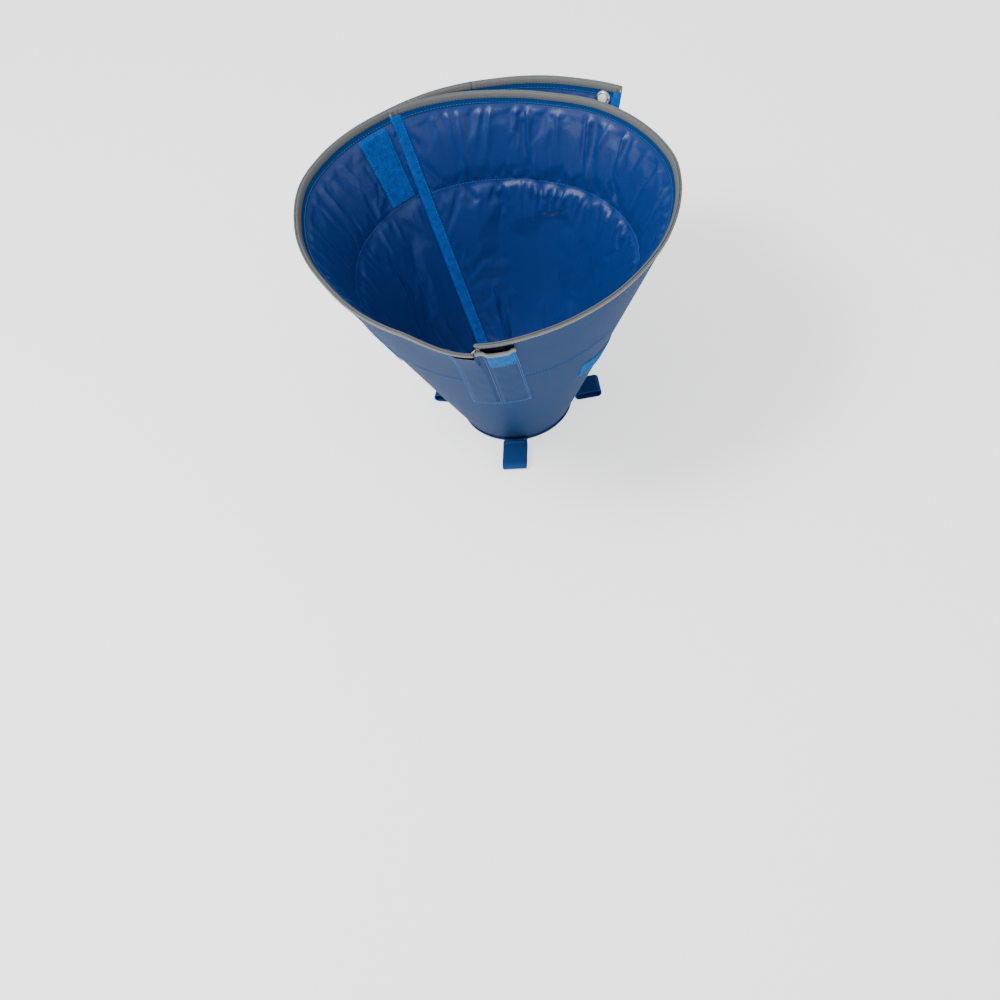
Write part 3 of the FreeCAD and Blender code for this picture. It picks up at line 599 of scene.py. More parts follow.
def relax(obj, held, sizes):
    """Lets a sheet slacken as cloth between its held seams, and gives back its points before and after."""
    scene = bpy.context.scene
    rest = np.zeros(len(obj.data.vertices) * 3)
    obj.data.vertices.foreach_get("co", rest)
    rest = rest.reshape(-1, 3)
    pins = obj.vertex_groups.new(name="held")
    for index in np.nonzero(held > 0.01)[0]:
        pins.add([int(index)], float(held[index]), "REPLACE")
    cloth = obj.modifiers.new("Slack", "CLOTH")
    settings = cloth.settings
    settings.quality = 5
    settings.mass = 0.12
    settings.tension_stiffness = settings.compression_stiffness = 18.0
    settings.shear_stiffness = 8.0
    settings.bending_stiffness = 0.25
    settings.vertex_group_mass = pins.name
    settings.shrink_min = -sizes.slack
    settings.use_pressure = True
    settings.uniform_pressure_force = sizes.pressure
    settings.effector_weights.gravity = 0.0
    cloth.collision_settings.use_collision = False
    cloth.point_cache.frame_start, cloth.point_cache.frame_end = 1, sizes.frames
    for step in range(1, sizes.frames + 1):
        scene.frame_set(step)
    shaped = obj.evaluated_get(bpy.context.evaluated_depsgraph_get()).to_mesh()
    moved = np.zeros(len(rest) * 3)
    shaped.vertices.foreach_get("co", moved)
    obj.evaluated_get(bpy.context.evaluated_depsgraph_get()).to_mesh_clear()
    obj.modifiers.remove(cloth)
    obj.vertex_groups.remove(pins)
    scene.frame_set(1)
    return rest, moved.reshape(-1, 3)


def build_lining_part(part, sizes):
    """One stretch of the lining."""
    step = 0.58 if part == "cone" else 1.0
    heights = np.concatenate((
        np.linspace(CLOTH_LOW, QUILT_INSIDE, 72)[:-1],
        np.linspace(QUILT_INSIDE, CLOTH_TOP, 40),
    ))
    angles = part_angles(part, heights, step)
    grid = np.broadcast_to(heights, angles.shape)
    lift = lining_lift(angles, grid, sizes)
    obj = panel_sheet(f"lining_{part}", angles, grid, LINING_FACE - lift, inside=True)
    if part == "cone":
        free = lining_free(angles, grid)
        held = np.maximum.reduce([
            bump(grid - QUILT_INSIDE, 2.0 * MM), 1.0 - free, smooth_step((0.0075 - grid) / (2.0 * MM)),
            bump(angles - INNER_END, 0.8), bump(angles - angles[:1], 0.6),
        ])
        rest, moved = relax(obj, held.ravel(), sizes)
        square = wall_normal(angles).reshape(-1, 3)
        travel = moved - rest
        inwards = -(travel * square).sum(axis=1)
        low, high = -np.maximum(lift.ravel() + 0.2 * MM, 0.0), sizes.cap
        kept = np.clip(inwards, low, high)
        strong = np.minimum(crease_strength(angles), 1.0).ravel()
        sideways = travel + inwards[:, None] * square
        moved = rest + free.ravel()[:, None] * (0.5 * sideways - (kept * strong)[:, None] * square)
        obj.data.vertices.foreach_set("co", moved.ravel())
        obj.data.update()
    return obj


# ---- stitches ----


class Thread:
    """Stitches gathered for one mesh: places, directions and sizes."""

    STATIONS, AROUND = 7, 6

    def __init__(self):
        self.rows = []

    def row(self, points, normals, pitch=3.4 * MM, length=2.5 * MM, radius=0.24 * MM):
        """A seam's stitches along a line of points, lying on the side that the normals face."""
        points, normals = np.asarray(points, float), np.asarray(normals, float)
        reach = np.concatenate(([0.0], np.cumsum(np.linalg.norm(np.diff(points, axis=0), axis=1))))
        count = max(1, int(reach[-1] / pitch))
        middle = (np.arange(count) + 0.5) * reach[-1] / count
        at = [np.stack([np.interp(middle + s * 0.5 * length, reach, points[:, k]) for k in range(3)], axis=1)
              for s in (-1.0, 0.0, 1.0)]
        facing = np.stack([np.interp(middle, reach, normals[:, k]) for k in range(3)], axis=1)
        along = at[2] - at[0]
        along /= np.linalg.norm(along, axis=1, keepdims=True)
        facing -= (facing * along).sum(axis=1, keepdims=True) * along
        facing /= np.linalg.norm(facing, axis=1, keepdims=True)
        self.rows.append((at[1], along, facing, np.full(count, length), np.full(count, radius)))

    def mesh(self, name):
        """One mesh of all the stitches: little arched cords whose ends dip into the cloth."""
        centre, along, facing, length, radius = (np.concatenate(v) for v in zip(*self.rows))
        side = np.cross(facing, along)
        share = np.linspace(-1.0, 1.0, self.STATIONS)
        turn = np.arange(self.AROUND) * 2.0 * math.pi / self.AROUND
        thick = np.sqrt(np.maximum(1.0 - share ** 4, 0.04))
        x = 0.5 * share[None, :, None] * length[:, None, None]
        y = thick[None, :, None] * np.cos(turn) * radius[:, None, None]
        arch = (0.55 - 1.1 * share ** 2)[None, :, None]
        z = (arch + thick[None, :, None] * np.sin(turn)) * radius[:, None, None]
        shape = (len(centre), self.STATIONS, self.AROUND)
        points = centre[:, None, None] + sum(
            np.broadcast_to(v, shape)[..., None] * axis[:, None, None]
            for v, axis in ((x, along), (y, side), (z, facing))
        )
        one = np.array(grid_faces(self.STATIONS, self.AROUND, wrap_columns=True))
        per = self.STATIONS * self.AROUND
        faces = (one[None] + (np.arange(len(centre)) * per)[:, None, None]).reshape(-1, 4).tolist()
        return mesh_object(name, points.reshape(-1, 3), faces, closed=False)


def seam_on_panel(thread, angle, height, offset, outside, **sizes):
    """A seam whose line is given as places on the panel."""
    angle, height, offset = np.broadcast_arrays(*(np.asarray(v, float) for v in (angle, height, offset)))
    facing = wall_normal(angle) * (1.0 if outside else -1.0)
    thread.row(wall(angle, height, offset), facing, **sizes)


def level_seam(thread, part, height, offset, outside, **sizes):
    """A seam round one stretch of the panel at one height."""
    angles = part_angles(part, [height], 1.0)[:, 0]
    seam_on_panel(thread, angles, height, offset, outside, **sizes)


def outline_seam(thread, strip, inset=2.0 * MM, rise=1.0 * MM):
    """A seam round the inside of a strip's edges."""
    count = 60
    offset = SHELL_FACE + rise if strip.outside else LINING_FACE - rise
    margin = inset / (strip.high - strip.low)
    share = np.linspace(margin, 1.0 - margin, count)
    for angle, sign in ((strip.first, 1.0), (strip.last, -1.0)):
        level = strip_height(strip, np.full(count, angle), share)
        seam_on_panel(thread, angle + sign * degrees_for(inset, angle, level), level, offset, strip.outside)
    middle = 0.5 * (strip.low + strip.high)
    first = strip.first + degrees_for(inset, strip.first, middle)
    last = strip.last - degrees_for(inset, strip.last, middle)
    along = np.linspace(first, last, count)
    for share in (margin, 1.0 - margin):
        seam_on_panel(thread, along, strip_height(strip, along, share), offset, strip.outside)


# ---- pieces of the panel ----

RIM_TAPE = (
    (0.12, 278.6), (0.75, 278.4), (1.0, 279.2), (1.0, 281.2), (0.85, 282.8), (0.3, 284.0), (-1.0, 284.4),
    (-1.9, 284.1), (-2.5, 283.1), (-3.1, 284.1), (-4.0, 284.4), (-5.4, 284.0), (-6.1, 282.8), (-6.3, 281.2),
    (-6.3, 279.2), (-6.0, 278.4), (-5.3, 278.6), (-5.2, 282.0), (0.0, 282.0),
)
NECK_TAPE = (
    (0.12, 5.6), (0.9, 5.7), (1.5, 4.9), (1.6, 3.0), (1.2, 1.2), (0.2, 0.3), (-1.4, 0.05), (-4.2, 0.05),
    (-5.8, 0.3), (-6.7, 1.2), (-7.1, 3.0), (-7.0, 4.9), (-6.4, 5.7), (-5.62, 5.6), (-5.5, 2.2), (0.0, 2.2),
)
FACING_TAPE = ((-5.6, 273.6), (-6.2, 273.5), (-6.45, 274.2), (-6.4, 276.0), (-6.4, 278.7), (-5.6, 279.0))
RIM_SEAM, RIM_SEAM_OUT, RIM_SEAM_IN = 0.2797, 0.00112, -0.00640
FACING_SEAM, FACING_SEAM_IN = 0.2747, -0.00645
NECK_SEAM, NECK_SEAM_OUT, NECK_SEAM_IN = 0.0044, 0.00160, -0.00710
# How far each end tape reaches over the outside and the inside of the panel, in millimetres.
INNER_END_REACH, FLAP_END_REACH = (8.0, 10.5), (10.5, 6.5)
# The droop's end and the cut end of the rim tape that starts above it.
LEFT_TAPE_END, RIGHT_TAPE_START = 357.99, 358.05


def build_foam_part(part):
    """Padding between the cloths, thinned where it is quilted and bound."""
    heights = np.concatenate((
        np.linspace(CLOTH_LOW + 0.2 * MM, QUILT_INSIDE, 26)[:-1],
        np.linspace(QUILT_INSIDE, CLOTH_TOP, 14),
    ))
    thin = sum(
        bump(heights - seam, reach)
        for seam, reach in ((QUILT_INSIDE, 5.0 * MM), (heights[0], 3.0 * MM), (heights[-1], 3.0 * MM))
    )
    half = 0.5 * (FOAM_OUT - FOAM_IN) * (1.0 - 0.55 * np.minimum(thin, 1.0)) * 0.96
    middle = 0.5 * (FOAM_OUT + FOAM_IN)
    column = np.concatenate((heights, heights[::-1]))
    angles = part_angles(part, column, 3.0)
    return panel_tape(f"foam_{part}", angles, column, np.concatenate((middle + half, middle - half[::-1])))


def shell_sink(angle, height, sizes):
    """How far the outer cloth dips below the frame's face."""
    quilted = 0.7 * MM * bump(height - QUILT_OUTSIDE, 2.2 * MM)
    ripple = waver(angle + 40.0 * height, 2.0, (5.0, 9.0, 17.0)) * np.sin(height * 31.0)
    easy = 0.5 * sizes.shell_ease * (1.0 + ripple)
    return np.clip(quilted + easy, 0.0, 0.85 * MM)


def build_shell_part(part, sizes):
    """One stretch of the outer cloth, finest about its quilting seam."""
    below, above = QUILT_OUTSIDE - 8.0 * MM, QUILT_OUTSIDE + 8.0 * MM
    heights = np.concatenate((
        np.linspace(CLOTH_LOW, below, 40)[:-1],
        np.linspace(below, above, 17),
        np.linspace(above, CLOTH_TOP, 30)[1:],
    ))
    angles = part_angles(part, heights, 1.0 if part == "cone" else 1.4)
    grid = np.broadcast_to(heights, angles.shape)
    return panel_sheet(f"shell_{part}", angles, grid, SHELL_FACE - shell_sink(angles, grid, sizes))


def flat_cut(part):
    """Width, length and area of a stretch of the panel, unrolled flat."""
    heights = np.linspace(CLOTH_LOW, CLOTH_TOP, 60)
    angles = part_angles(part, heights, 1.0)
    flat = flat_pattern(angles, heights)
    a, b, c, d = flat[:-1, :-1], flat[1:, :-1], flat[1:, 1:], flat[:-1, 1:]
    first, second = c - a, d - b
    area = 0.5 * float(np.abs(first[..., 0] * second[..., 1] - first[..., 1] * second[..., 0]).sum())
    size = flat.reshape(-1, 2).max(axis=0) - flat.reshape(-1, 2).min(axis=0)
    return (float(size[0]), float(size[1])), area


def end_tape(name, edge, into, outside_reach, inside_reach):
    """Soft tape folded over an upright end of the panel. into is +1 where the panel lies at larger angles."""
    heights = np.linspace(NECK_ROLL_HIGH, END_TAPE_HIGH, 70)
    section = rounded((
        (outside_reach, 0.1), (outside_reach, 1.1), (0.5 * outside_reach, 1.2), (0.3, 1.2), (-0.6, 0.6),
        (-1.1, -1.0), (-1.2, -2.8), (-1.1, -4.8), (-0.6, -6.2), (0.3, -6.8), (0.5 * inside_reach, -6.8),
        (inside_reach, -6.7), (inside_reach, -5.6), (0.4, -5.5), (0.4, 0.0),
    ), passes=1) * MM
    reach, offset = section[None, :, 0], section[None, :, 1]
    lifted = np.where(offset < -6.0 * MM, -0.75 * MM, 0.0)
    over_facing = smooth_step((heights - 0.270) / (3.0 * MM))[:, None] * lifted
    angle = edge + into * degrees_for(reach, edge, heights[:, None])
    return panel_tape(name, angle, heights[:, None], offset + over_facing)


class Strip(NamedTuple):
    """A hook or loop strip: its place on the panel, the face it is sewn on, and whether it runs straight."""

    part: str
    slot: str
    first: float
    last: float
    low: float
    high: float
    outside: bool
    straight: bool = False


STRIPS = {
    "lining_loop_strip": Strip("cone", "brushed_loop", 223.0, 233.5, 0.1985, 0.2722, False),
    "inner_hook_strip": Strip("cone", "hook_tape", 565.5, 572.0, 0.060, 0.2722, True),
    "flap_loop_strip": Strip("root", "light_loop", 203.1, 209.6, 0.060, 0.2722, False),
    "side_loop_band": Strip("cone", "light_loop", 403.0, 523.0, 0.116, 0.1435, True, straight=True),
    "side_loop_patch": Strip("cone", "light_loop", 284.0, 310.0, 0.154, 0.208, True),
    "flap_hook_tab": Strip("tip", "hook_tape", 148.8, 160.8, 0.117, 0.1425, False, straight=True),
}
# The straight run round the right side: its lowest place, its tilt, and where its lower edge meets the axis.
RUN_MIDDLE, RUN_TILT = 103.0, math.tan(math.radians(27.0))
RUN_FROM, RUN_HALF = 0.116, math.radians(60.0)
RUN_ON_AXIS = RUN_FROM + (NECK_RADIUS + SLOPE * RUN_FROM) * math.cos(RUN_HALF) * RUN_TILT


def strip_height(strip, angle, share):
    """Height on the panel of a strip, from its lower edge at share 0 to its upper edge at 1."""
    level = strip.low + (strip.high - strip.low) * share
    if not strip.straight:
        return level + 0.0 * np.asarray(angle)
    middle = math.radians(RUN_MIDDLE)
    towards = np.cos(np.radians(angle) - middle)
    outer = outer_layer(angle)
    centre = np.where(outer, OUTER_CENTRE[0] * math.sin(middle) - OUTER_CENTRE[1] * math.cos(middle), 0.0)
    reach = centre + (NECK_RADIUS + np.where(outer, OUTER_SHIFT + LINING_FACE, 0.0)) * towards
    on_axis = RUN_ON_AXIS + (level - RUN_FROM) * math.hypot(1.0, RUN_TILT)
    return (on_axis - RUN_TILT * reach) / (1.0 + RUN_TILT * SLOPE * towards)


def pile_strip(name, strip, thickness=1.35 * MM, grain=0.9 * MM, seed=1):
    """A brushed strip sewn on the panel, with a rough face and rolled edges."""
    tall = strip.high - strip.low
    radius = float(radius_at(strip.first, 0.5 * (strip.low + strip.high)))
    across = math.radians(strip.last - strip.first) * radius
    rows, columns = int(across / grain) + 2, int(tall / grain) + 2
    angle, share = np.meshgrid(
        np.linspace(strip.first, strip.last, rows), np.linspace(0.0, 1.0, columns), indexing="ij",
    )
    share_a = np.linspace(0.0, 1.0, rows)[:, None] * across
    share_h = share[:1] * tall
    edge = np.minimum(np.minimum(share_a, across - share_a), np.minimum(share_h, tall - share_h))
    full = np.sqrt(np.clip(edge / (1.1 * MM), 0.0, 1.0))
    sewn = 1.0 - 0.35 * bump(edge - 2.0 * MM, 0.7 * MM)
    rough = np.random.default_rng(seed).normal(0.0, 0.13 * MM, angle.shape) * np.clip(edge / MM, 0.0, 1.0)
    rise = thickness * full * sewn + np.clip(rough, -0.3 * MM, 0.3 * MM)
    ragged = np.random.default_rng(seed + 1).normal(0.0, 0.12, (2,) + angle.shape)
    ragged = ragged * np.where(edge < 0.1 * MM, 1.0, 0.4)
    height = strip_height(strip, angle, share) + grain * ragged[1]
    angle = angle + degrees_for(grain, angle, height) * ragged[0]
    offset = rise + SHELL_FACE if strip.outside else LINING_FACE - rise
    return panel_sheet(name, angle, height, offset, inside=not strip.outside)


# ---- front pocket ----

POCKET_HALF, POCKET_LOW, POCKET_HIGH = 0.030, 0.117, 0.272
POCKET_SEAM = 2.0 * MM
MOUTH_GAPE = 3.6 * MM
STAY_THICK = 0.8 * MM
# Each stay's left and right edges, its foot and top, and how far it stands off the shell.
SEWN_STAY = (-25.0 * MM, -4.2 * MM, 0.123, 0.267, 0.5 * MM)
LOOSE_STAY = (4.4 * MM, 24.8 * MM, 0.124, 0.274, 0.6 * MM)
PATCH_LOW, PATCH_HIGH, PATCH_LEFT, PATCH_RIGHT = 0.229, 0.263, 2.0 * MM, 29.0 * MM
# Lines of stitches up the pocket, in millimetres across.
POCKET_STITCHES = (-29.2, -27.6, 0.0, 27.6, 29.2)


def front_angle(across, height, offset):
    """The angle of a place at a level distance across the front."""
    return FRONT + np.degrees(np.arcsin(across / (radius_at(FRONT, height) + offset)))


def pocket_rise(across, height):
    """How far the pocket's cloth stands off the shell over its two cells."""
    def cell(low, high, tall):
        share = np.clip((across - low) / (high - low), 0.0, 1.0)
        return tall * np.minimum(smooth_step(share * 7.0), smooth_step((1.0 - share) * 7.0))

    left = cell(-POCKET_HALF + POCKET_SEAM, -0.5 * POCKET_SEAM, 1.5 * MM)
    right = cell(0.5 * POCKET_SEAM, POCKET_HALF - POCKET_SEAM, 2.1 * MM)
    closing = smooth_step((height - POCKET_LOW - POCKET_SEAM) / (6.0 * MM))
    ease = 0.25 * MM * np.sin(height * 210.0 + across * 160.0) * np.sin(across * 190.0)
    gape = MOUTH_GAPE * np.clip((height - 0.225) / (POCKET_HIGH - 0.225), 0.0, 1.1) ** 1.5
    gape = gape * smooth_step((across + 0.5 * POCKET_HALF) / POCKET_HALF)
    return 0.75 * MM + (left + right + ease * (left + right) / (3.0 * MM)) * closing + gape


def build_pocket_panel():
    """The pocket's cloth, turned under at its edges."""
    across = np.linspace(-POCKET_HALF, POCKET_HALF, 61)[:, None]
    height = np.linspace(POCKET_LOW, POCKET_HIGH, 120)[None, :]
    rise = pocket_rise(across, height)
    edge = np.minimum(np.minimum(across + POCKET_HALF, POCKET_HALF - across), height - POCKET_LOW)
    rise = 0.12 * MM + (rise - 0.12 * MM) * np.sqrt(np.clip(edge / (0.9 * MM), 0.0, 1.0))
    return panel_sheet("pocket_cloth", front_angle(across, height, rise), height, rise)


def build_pocket_patch():
    """Loop patch at the top of the right cell."""
    across, height = np.meshgrid(
        np.linspace(PATCH_LEFT, PATCH_RIGHT, 34), np.linspace(PATCH_LOW, PATCH_HIGH, 42), indexing="ij",
    )
    edge = np.minimum.reduce([
        across - PATCH_LEFT, PATCH_RIGHT - across, height - PATCH_LOW, PATCH_HIGH - height,
    ])
    rough = np.random.default_rng(11).normal(0.0, 0.13 * MM, across.shape) * np.clip(edge / MM, 0.0, 1.0)
    rise = pocket_rise(across, height) + 1.0 * MM * np.sqrt(np.clip(edge / (1.0 * MM), 0.0, 1.0)) + rough
    return panel_sheet("pocket_patch", front_angle(across, height, rise), height, rise)


def build_mouth_tape():
    """Grey tape over the pocket's mouth, which carries on the drooping rim tape to a square end."""
    across = np.linspace(-6.2 * MM, 31.0 * MM, 80)
    inside = np.minimum(across, POCKET_HALF - 1.2 * MM)
    base = pocket_rise(inside, np.full(len(across), POCKET_HIGH))
    section = rounded((
        (-0.3, -6.6), (0.7, -6.8), (1.15, -6.0), (1.1, -2.6), (0.75, -2.2), (1.1, -1.8), (1.05, 0.2),
        (0.4, 1.5), (-0.9, 1.6), (-1.5, 0.8), (-1.4, -0.5), (-0.6, -0.6), (-0.05, -1.6),
    ), passes=1) * MM
    lift = smooth_step((16.0 * MM - across) / (22.0 * MM))[:, None]
    offset = base[:, None] + section[None, :, 0] + 0.4 * MM + 2.6 * MM * lift
    height = POCKET_HIGH + section[None, :, 1] + 5.0 * MM * lift
    return panel_tape("pocket_mouth_tape", front_angle(across[:, None], height, offset), height, offset)


def build_stay(name, left, right, low, high, rise):
    """A springy plastic strip in its cell, with rounded ends."""
    columns = 60
    across = np.linspace(left, right, 15)[:, None]
    tall = np.linspace(low, high, columns)[None, :]
    middle, half = 0.5 * (left + right), 0.5 * (right - left)
    near = np.clip(np.minimum(tall - low, high - tall) / half, 0.0, 1.0)
    across = middle + (across - middle) * np.sqrt(near * (2.0 - near) * 0.94 + 0.06)
    tall = tall + 0.0 * across
    front = np.vstack((across, across[::-1]))
    level = np.vstack((tall, tall[::-1]))
    offset = np.vstack((np.full_like(across, rise + STAY_THICK), np.full_like(across, rise)))
    faces = grid_faces(*front.shape, wrap_rows=True)
    ends = [[row * columns + column for row in range(front.shape[0])] for column in (0, columns - 1)]
    points = wall(front_angle(front, level, offset), level, offset)
    return mesh_object(name, points, faces + [ends[0], ends[1][::-1]], closed=True)


# ---- snap ----

SOCKET = (
    (0.0, 0.3), (7.5, 0.3), (7.6, 0.8), (7.3, 1.1), (6.9, 1.25), (6.3, 2.0), (5.7, 2.25), (4.9, 2.1),
    (4.6, 1.8), (4.6, 0.8), (0.0, 0.8),
)
INSERT = ((0.0, 0.85), (4.5, 0.85), (4.5, 1.1), (3.4, 1.15), (3.1, 1.45), (1.4, 1.5), (0.0, 1.45))
CAP = (
    (0.0, -4.5), (1.7, -4.5), (1.7, 0.3), (7.0, 0.3), (7.1, 0.7), (6.8, 1.0), (5.6, 1.5), (3.2, 1.9),
    (0.0, 2.0),
)
STUD = (
    (0.0, 0.3), (7.0, 0.3), (7.0, 0.8), (4.7, 1.2), (3.6, 1.3), (3.6, 1.8), (4.1, 2.0), (4.1, 2.5), (3.6, 2.8),
    (0.0, 2.8),
)
BACK_PLATE = ((0.0, -2.2), (5.5, -2.2), (5.5, -1.4), (1.7, -1.4), (1.7, 0.0), (0.0, 0.0))


def build_round(name, profile, angle, height, offset, outside):
    """A turned piece set square on the wall.

    profile is distances off the piece's own axis and off the wall, in millimetres.
    """
    step, around = 0.5 * MM, 40
    centre = wall(angle, height, offset)
    along = wall(angle + degrees_for(step, angle, height), height, offset) - centre
    upward = wall(angle, height + step, offset) - centre
    along, upward = along / np.linalg.norm(along), upward / np.linalg.norm(upward)
    facing = np.cross(along, upward) * (1.0 if outside else -1.0)
    facing /= np.linalg.norm(facing)
    turn = np.linspace(0.0, 2.0 * math.pi, around, endpoint=False)
    ring = np.cos(turn)[:, None] * along + np.sin(turn)[:, None] * np.cross(facing, along)
    section = np.array(profile) * MM
    points = centre + section[None, 1:-1, 0, None] * ring[:, None] + section[None, 1:-1, 1, None] * facing
    count = points.shape[1]
    faces = grid_faces(around, count, wrap_rows=True)
    faces.append([row * count for row in range(around)])
    faces.append([row * count + count - 1 for row in range(around)][::-1])
    return mesh_object(name, points, faces, closed=True)


# ---- collar loops ----

LOOP_WIDTH, LOOP_THICK = 0.025, 0.0013
LOOP_RADIUS = 0.0047
LOOP_ROOT_GAP = 0.4 * MM
ROOT_HIGH = 0.007
# Each loop's angle, its length out from the neck, and the body its root is sewn to.
LOOPS = {
    "front": (360.0, 0.038, "cone"), "right": (460.0, 0.029, "cone"), "left": (260.0, 0.029, "cone"),
    "back": (192.0, 0.038, "flap_root"),
}


def webbing_rib(across):
    """Lengthwise ribs of the woven elastic."""
    ribs = 0.5 + 0.5 * np.cos(2.0 * math.pi * across / (LOOP_WIDTH / 9.0))
    edge = np.clip((0.5 * LOOP_WIDTH - np.abs(across)) / (0.8 * MM), 0.0, 1.0)
    return 0.16 * MM * ribs ** 0.6 * edge - 0.35 * MM * (1.0 - edge) ** 2


def loop_line(inset, length):
    """The loop seen from its side: distance out from its sewn end, and height."""
    radius = LOOP_RADIUS - inset
    bend = np.linspace(-90.0, 90.0, 17)
    straight = np.linspace(LOOP_RADIUS, length - LOOP_RADIUS, 24)
    ends = np.radians(bend)
    out = np.concatenate((straight, length - LOOP_RADIUS + radius * np.cos(ends)[1:-1], straight[::-1],
                          LOOP_RADIUS - radius * np.cos(ends)[1:-1]))
    high = np.concatenate((0.0 * straight - radius, radius * np.sin(ends)[1:-1], 0.0 * straight + radius,
                           -radius * np.sin(ends)[1:-1]))
    square = np.concatenate((
        np.tile((0.0, -1.0), (len(straight), 1)), np.stack((np.cos(ends), np.sin(ends)), 1)[1:-1],
        np.tile((0.0, 1.0), (len(straight), 1)), np.stack((-np.cos(ends), -np.sin(ends)), 1)[1:-1],
    ))
    return out, high, square


def build_loop(name, angle, length):
    """Ribbed elastic webbing, sewn into a loop."""
    out, high, square = loop_line(0.5 * LOOP_THICK, length)
    across = np.linspace(-0.5 * LOOP_WIDTH, 0.5 * LOOP_WIDTH, 46)
    rib = webbing_rib(across)
    section_across = np.concatenate((across, across[::-1]))
    half = 0.5 * LOOP_THICK - 0.12 * MM + rib
    section_lift = np.concatenate((half, -half[::-1]))
    root = float(radius_at(angle, ROOT_HIGH)) + PROUD + 0.1 * MM + LOOP_THICK + LOOP_ROOT_GAP
    turn = math.radians(angle)
    outward = np.array((math.sin(turn), -math.cos(turn), 0.0))
    sideways = np.array((math.cos(turn), math.sin(turn), 0.0))
    base = np.array((*OUTER_CENTRE, 0.0)) if outer_layer(angle) else np.zeros(3)
    far = root + out[:, None] + square[:, :1] * section_lift
    up = LOOP_RADIUS + high[:, None] + square[:, 1:] * section_lift
    points = base + far[..., None] * outward + section_across[None, :, None] * sideways
    points = points + up[..., None] * np.array((0.0, 0.0, 1.0))
    faces = grid_faces(len(out), len(section_across), wrap_columns=True, wrap_rows=True)
    along = np.broadcast_to(np.linspace(0.0, 2.4 * length, len(out))[:, None], far.shape)
    flat = np.stack((along, np.broadcast_to(section_across, far.shape)), axis=-1)
    return mesh_object(name, points, faces, flat, closed=True), base, outward, sideways, root


def build_loop_root(name, angle):
    """The loop's sewn end, flat on the neck tape."""
    height = ROOT_HIGH * 0.5
    across = np.linspace(-0.5 * LOOP_WIDTH, 0.5 * LOOP_WIDTH, 46)
    rise = np.array((1.0, 1.2, 2.0, 4.0, 6.0, 6.8, 7.0, 6.8, 4.0, 1.2)) * MM
    lift = np.array((0.1, 0.9, 1.15, 1.2, 1.15, 0.9, 0.3, 0.0, 0.0, 0.0)) * MM
    turn = angle + degrees_for(across, angle, height)
    rib = np.where(lift > 0.8 * MM, webbing_rib(across)[:, None] * 0.6, 0.0)
    offset = PROUD + 0.15 * MM + lift[None, :] + rib
    return panel_tape(name, turn[:, None], rise[None, :], offset)


# ---- what a user can change ----


def colour(title, description, default):
    """A colour that the user can change."""
    return FloatVectorProperty(
        name=title, description=description, subtype="COLOR", size=3, min=0.0, max=1.0, default=default,
    )


def distance(title, description, default, high):
    """A small length that the user can change."""
    return FloatProperty(name=title, description=description, default=default, min=0.0, max=high, unit="LENGTH")


def angle_of(title, description, degrees):
    """An angle that the user can change."""
    return FloatProperty(name=title, description=description, default=math.radians(degrees), subtype="ANGLE")


def amount(title, description, default, **limits):
    """A plain number, none of it below nothing."""
    return FloatProperty(name=title, description=description, default=default, min=0.0, **limits)


class SoftConeLook(bpy.types.PropertyGroup):
    """Colours of the cloths, tapes and trims"""

    shell: colour("Shell", "Outer nylon", (0.006, 0.034, 0.115))
    lining: colour("Lining", "Inner nylon", (0.003, 0.038, 0.215))
    foam: colour("Foam", "Padding", (0.75, 0.75, 0.72))
    binding: colour("Rim binding", "Grey reflective tape", (0.150, 0.156, 0.158))
    facing: colour("Facing tape", "Tape below the rim binding", (0.003, 0.045, 0.180))
    neck_tape: colour("Neck tape", "Rolled tape at the neck", (0.004, 0.028, 0.120))
    brushed: colour("Brushed loop", "Loop strip and end tapes on the lining", (0.001, 0.090, 0.420))
    light_loop: colour("Light loop", "Loop patches on the shell", (0.022, 0.105, 0.300))
    hook: colour("Hook tape", "Moulded hooks", (0.003, 0.034, 0.150))
    stay: colour("Stays", "Plastic stays", (0.012, 0.018, 0.035))
    metal: colour("Snap", "Plated snap", (0.80, 0.77, 0.72))
    # The insert's white is a painted highlight: it stands for the bright reflection at the centre of the metal
    # snap.
    insert: colour("Snap insert", "White plastic in the snap's mouth", (0.85, 0.85, 0.84))
    webbing: colour("Webbing", "Collar loops", (0.014, 0.066, 0.230))
    thread: colour("Blue thread", "Stitches on the cloth", (0.050, 0.200, 0.520))
    grey_thread: colour("Grey thread", "Stitches on the binding", (0.050, 0.054, 0.058))


class SoftConeSizes(bpy.types.PropertyGroup):
    """Softness of the cloth and the fineness of the sewing"""

    puff: distance("Puff", "How far the padding lifts the lining between seams", 1.5 * MM, high=0.004)
    gather: distance("Gather", "Height of the folds at the lining's seams", 5.2 * MM, high=0.009)
    cap: distance("Cap", "Furthest that the slack cloth may move", 2.5 * MM, high=0.006)
    shell_ease: distance("Shell ease", "Unevenness of the outer cloth", 0.25 * MM, high=0.001)
    slack: amount("Slack", "Share of extra cloth in the lining", 0.02, max=0.2, subtype="FACTOR")
    pressure: amount("Pressure", "Push of the padding behind the lining", 1.2, max=10.0)
    frames: IntProperty(
        name="Frames", description="Steps for which the lining settles", default=16, min=2, max=40,
    )
    seed: IntProperty(name="Seed", description="Which set of folds the lining has", default=5, min=0)


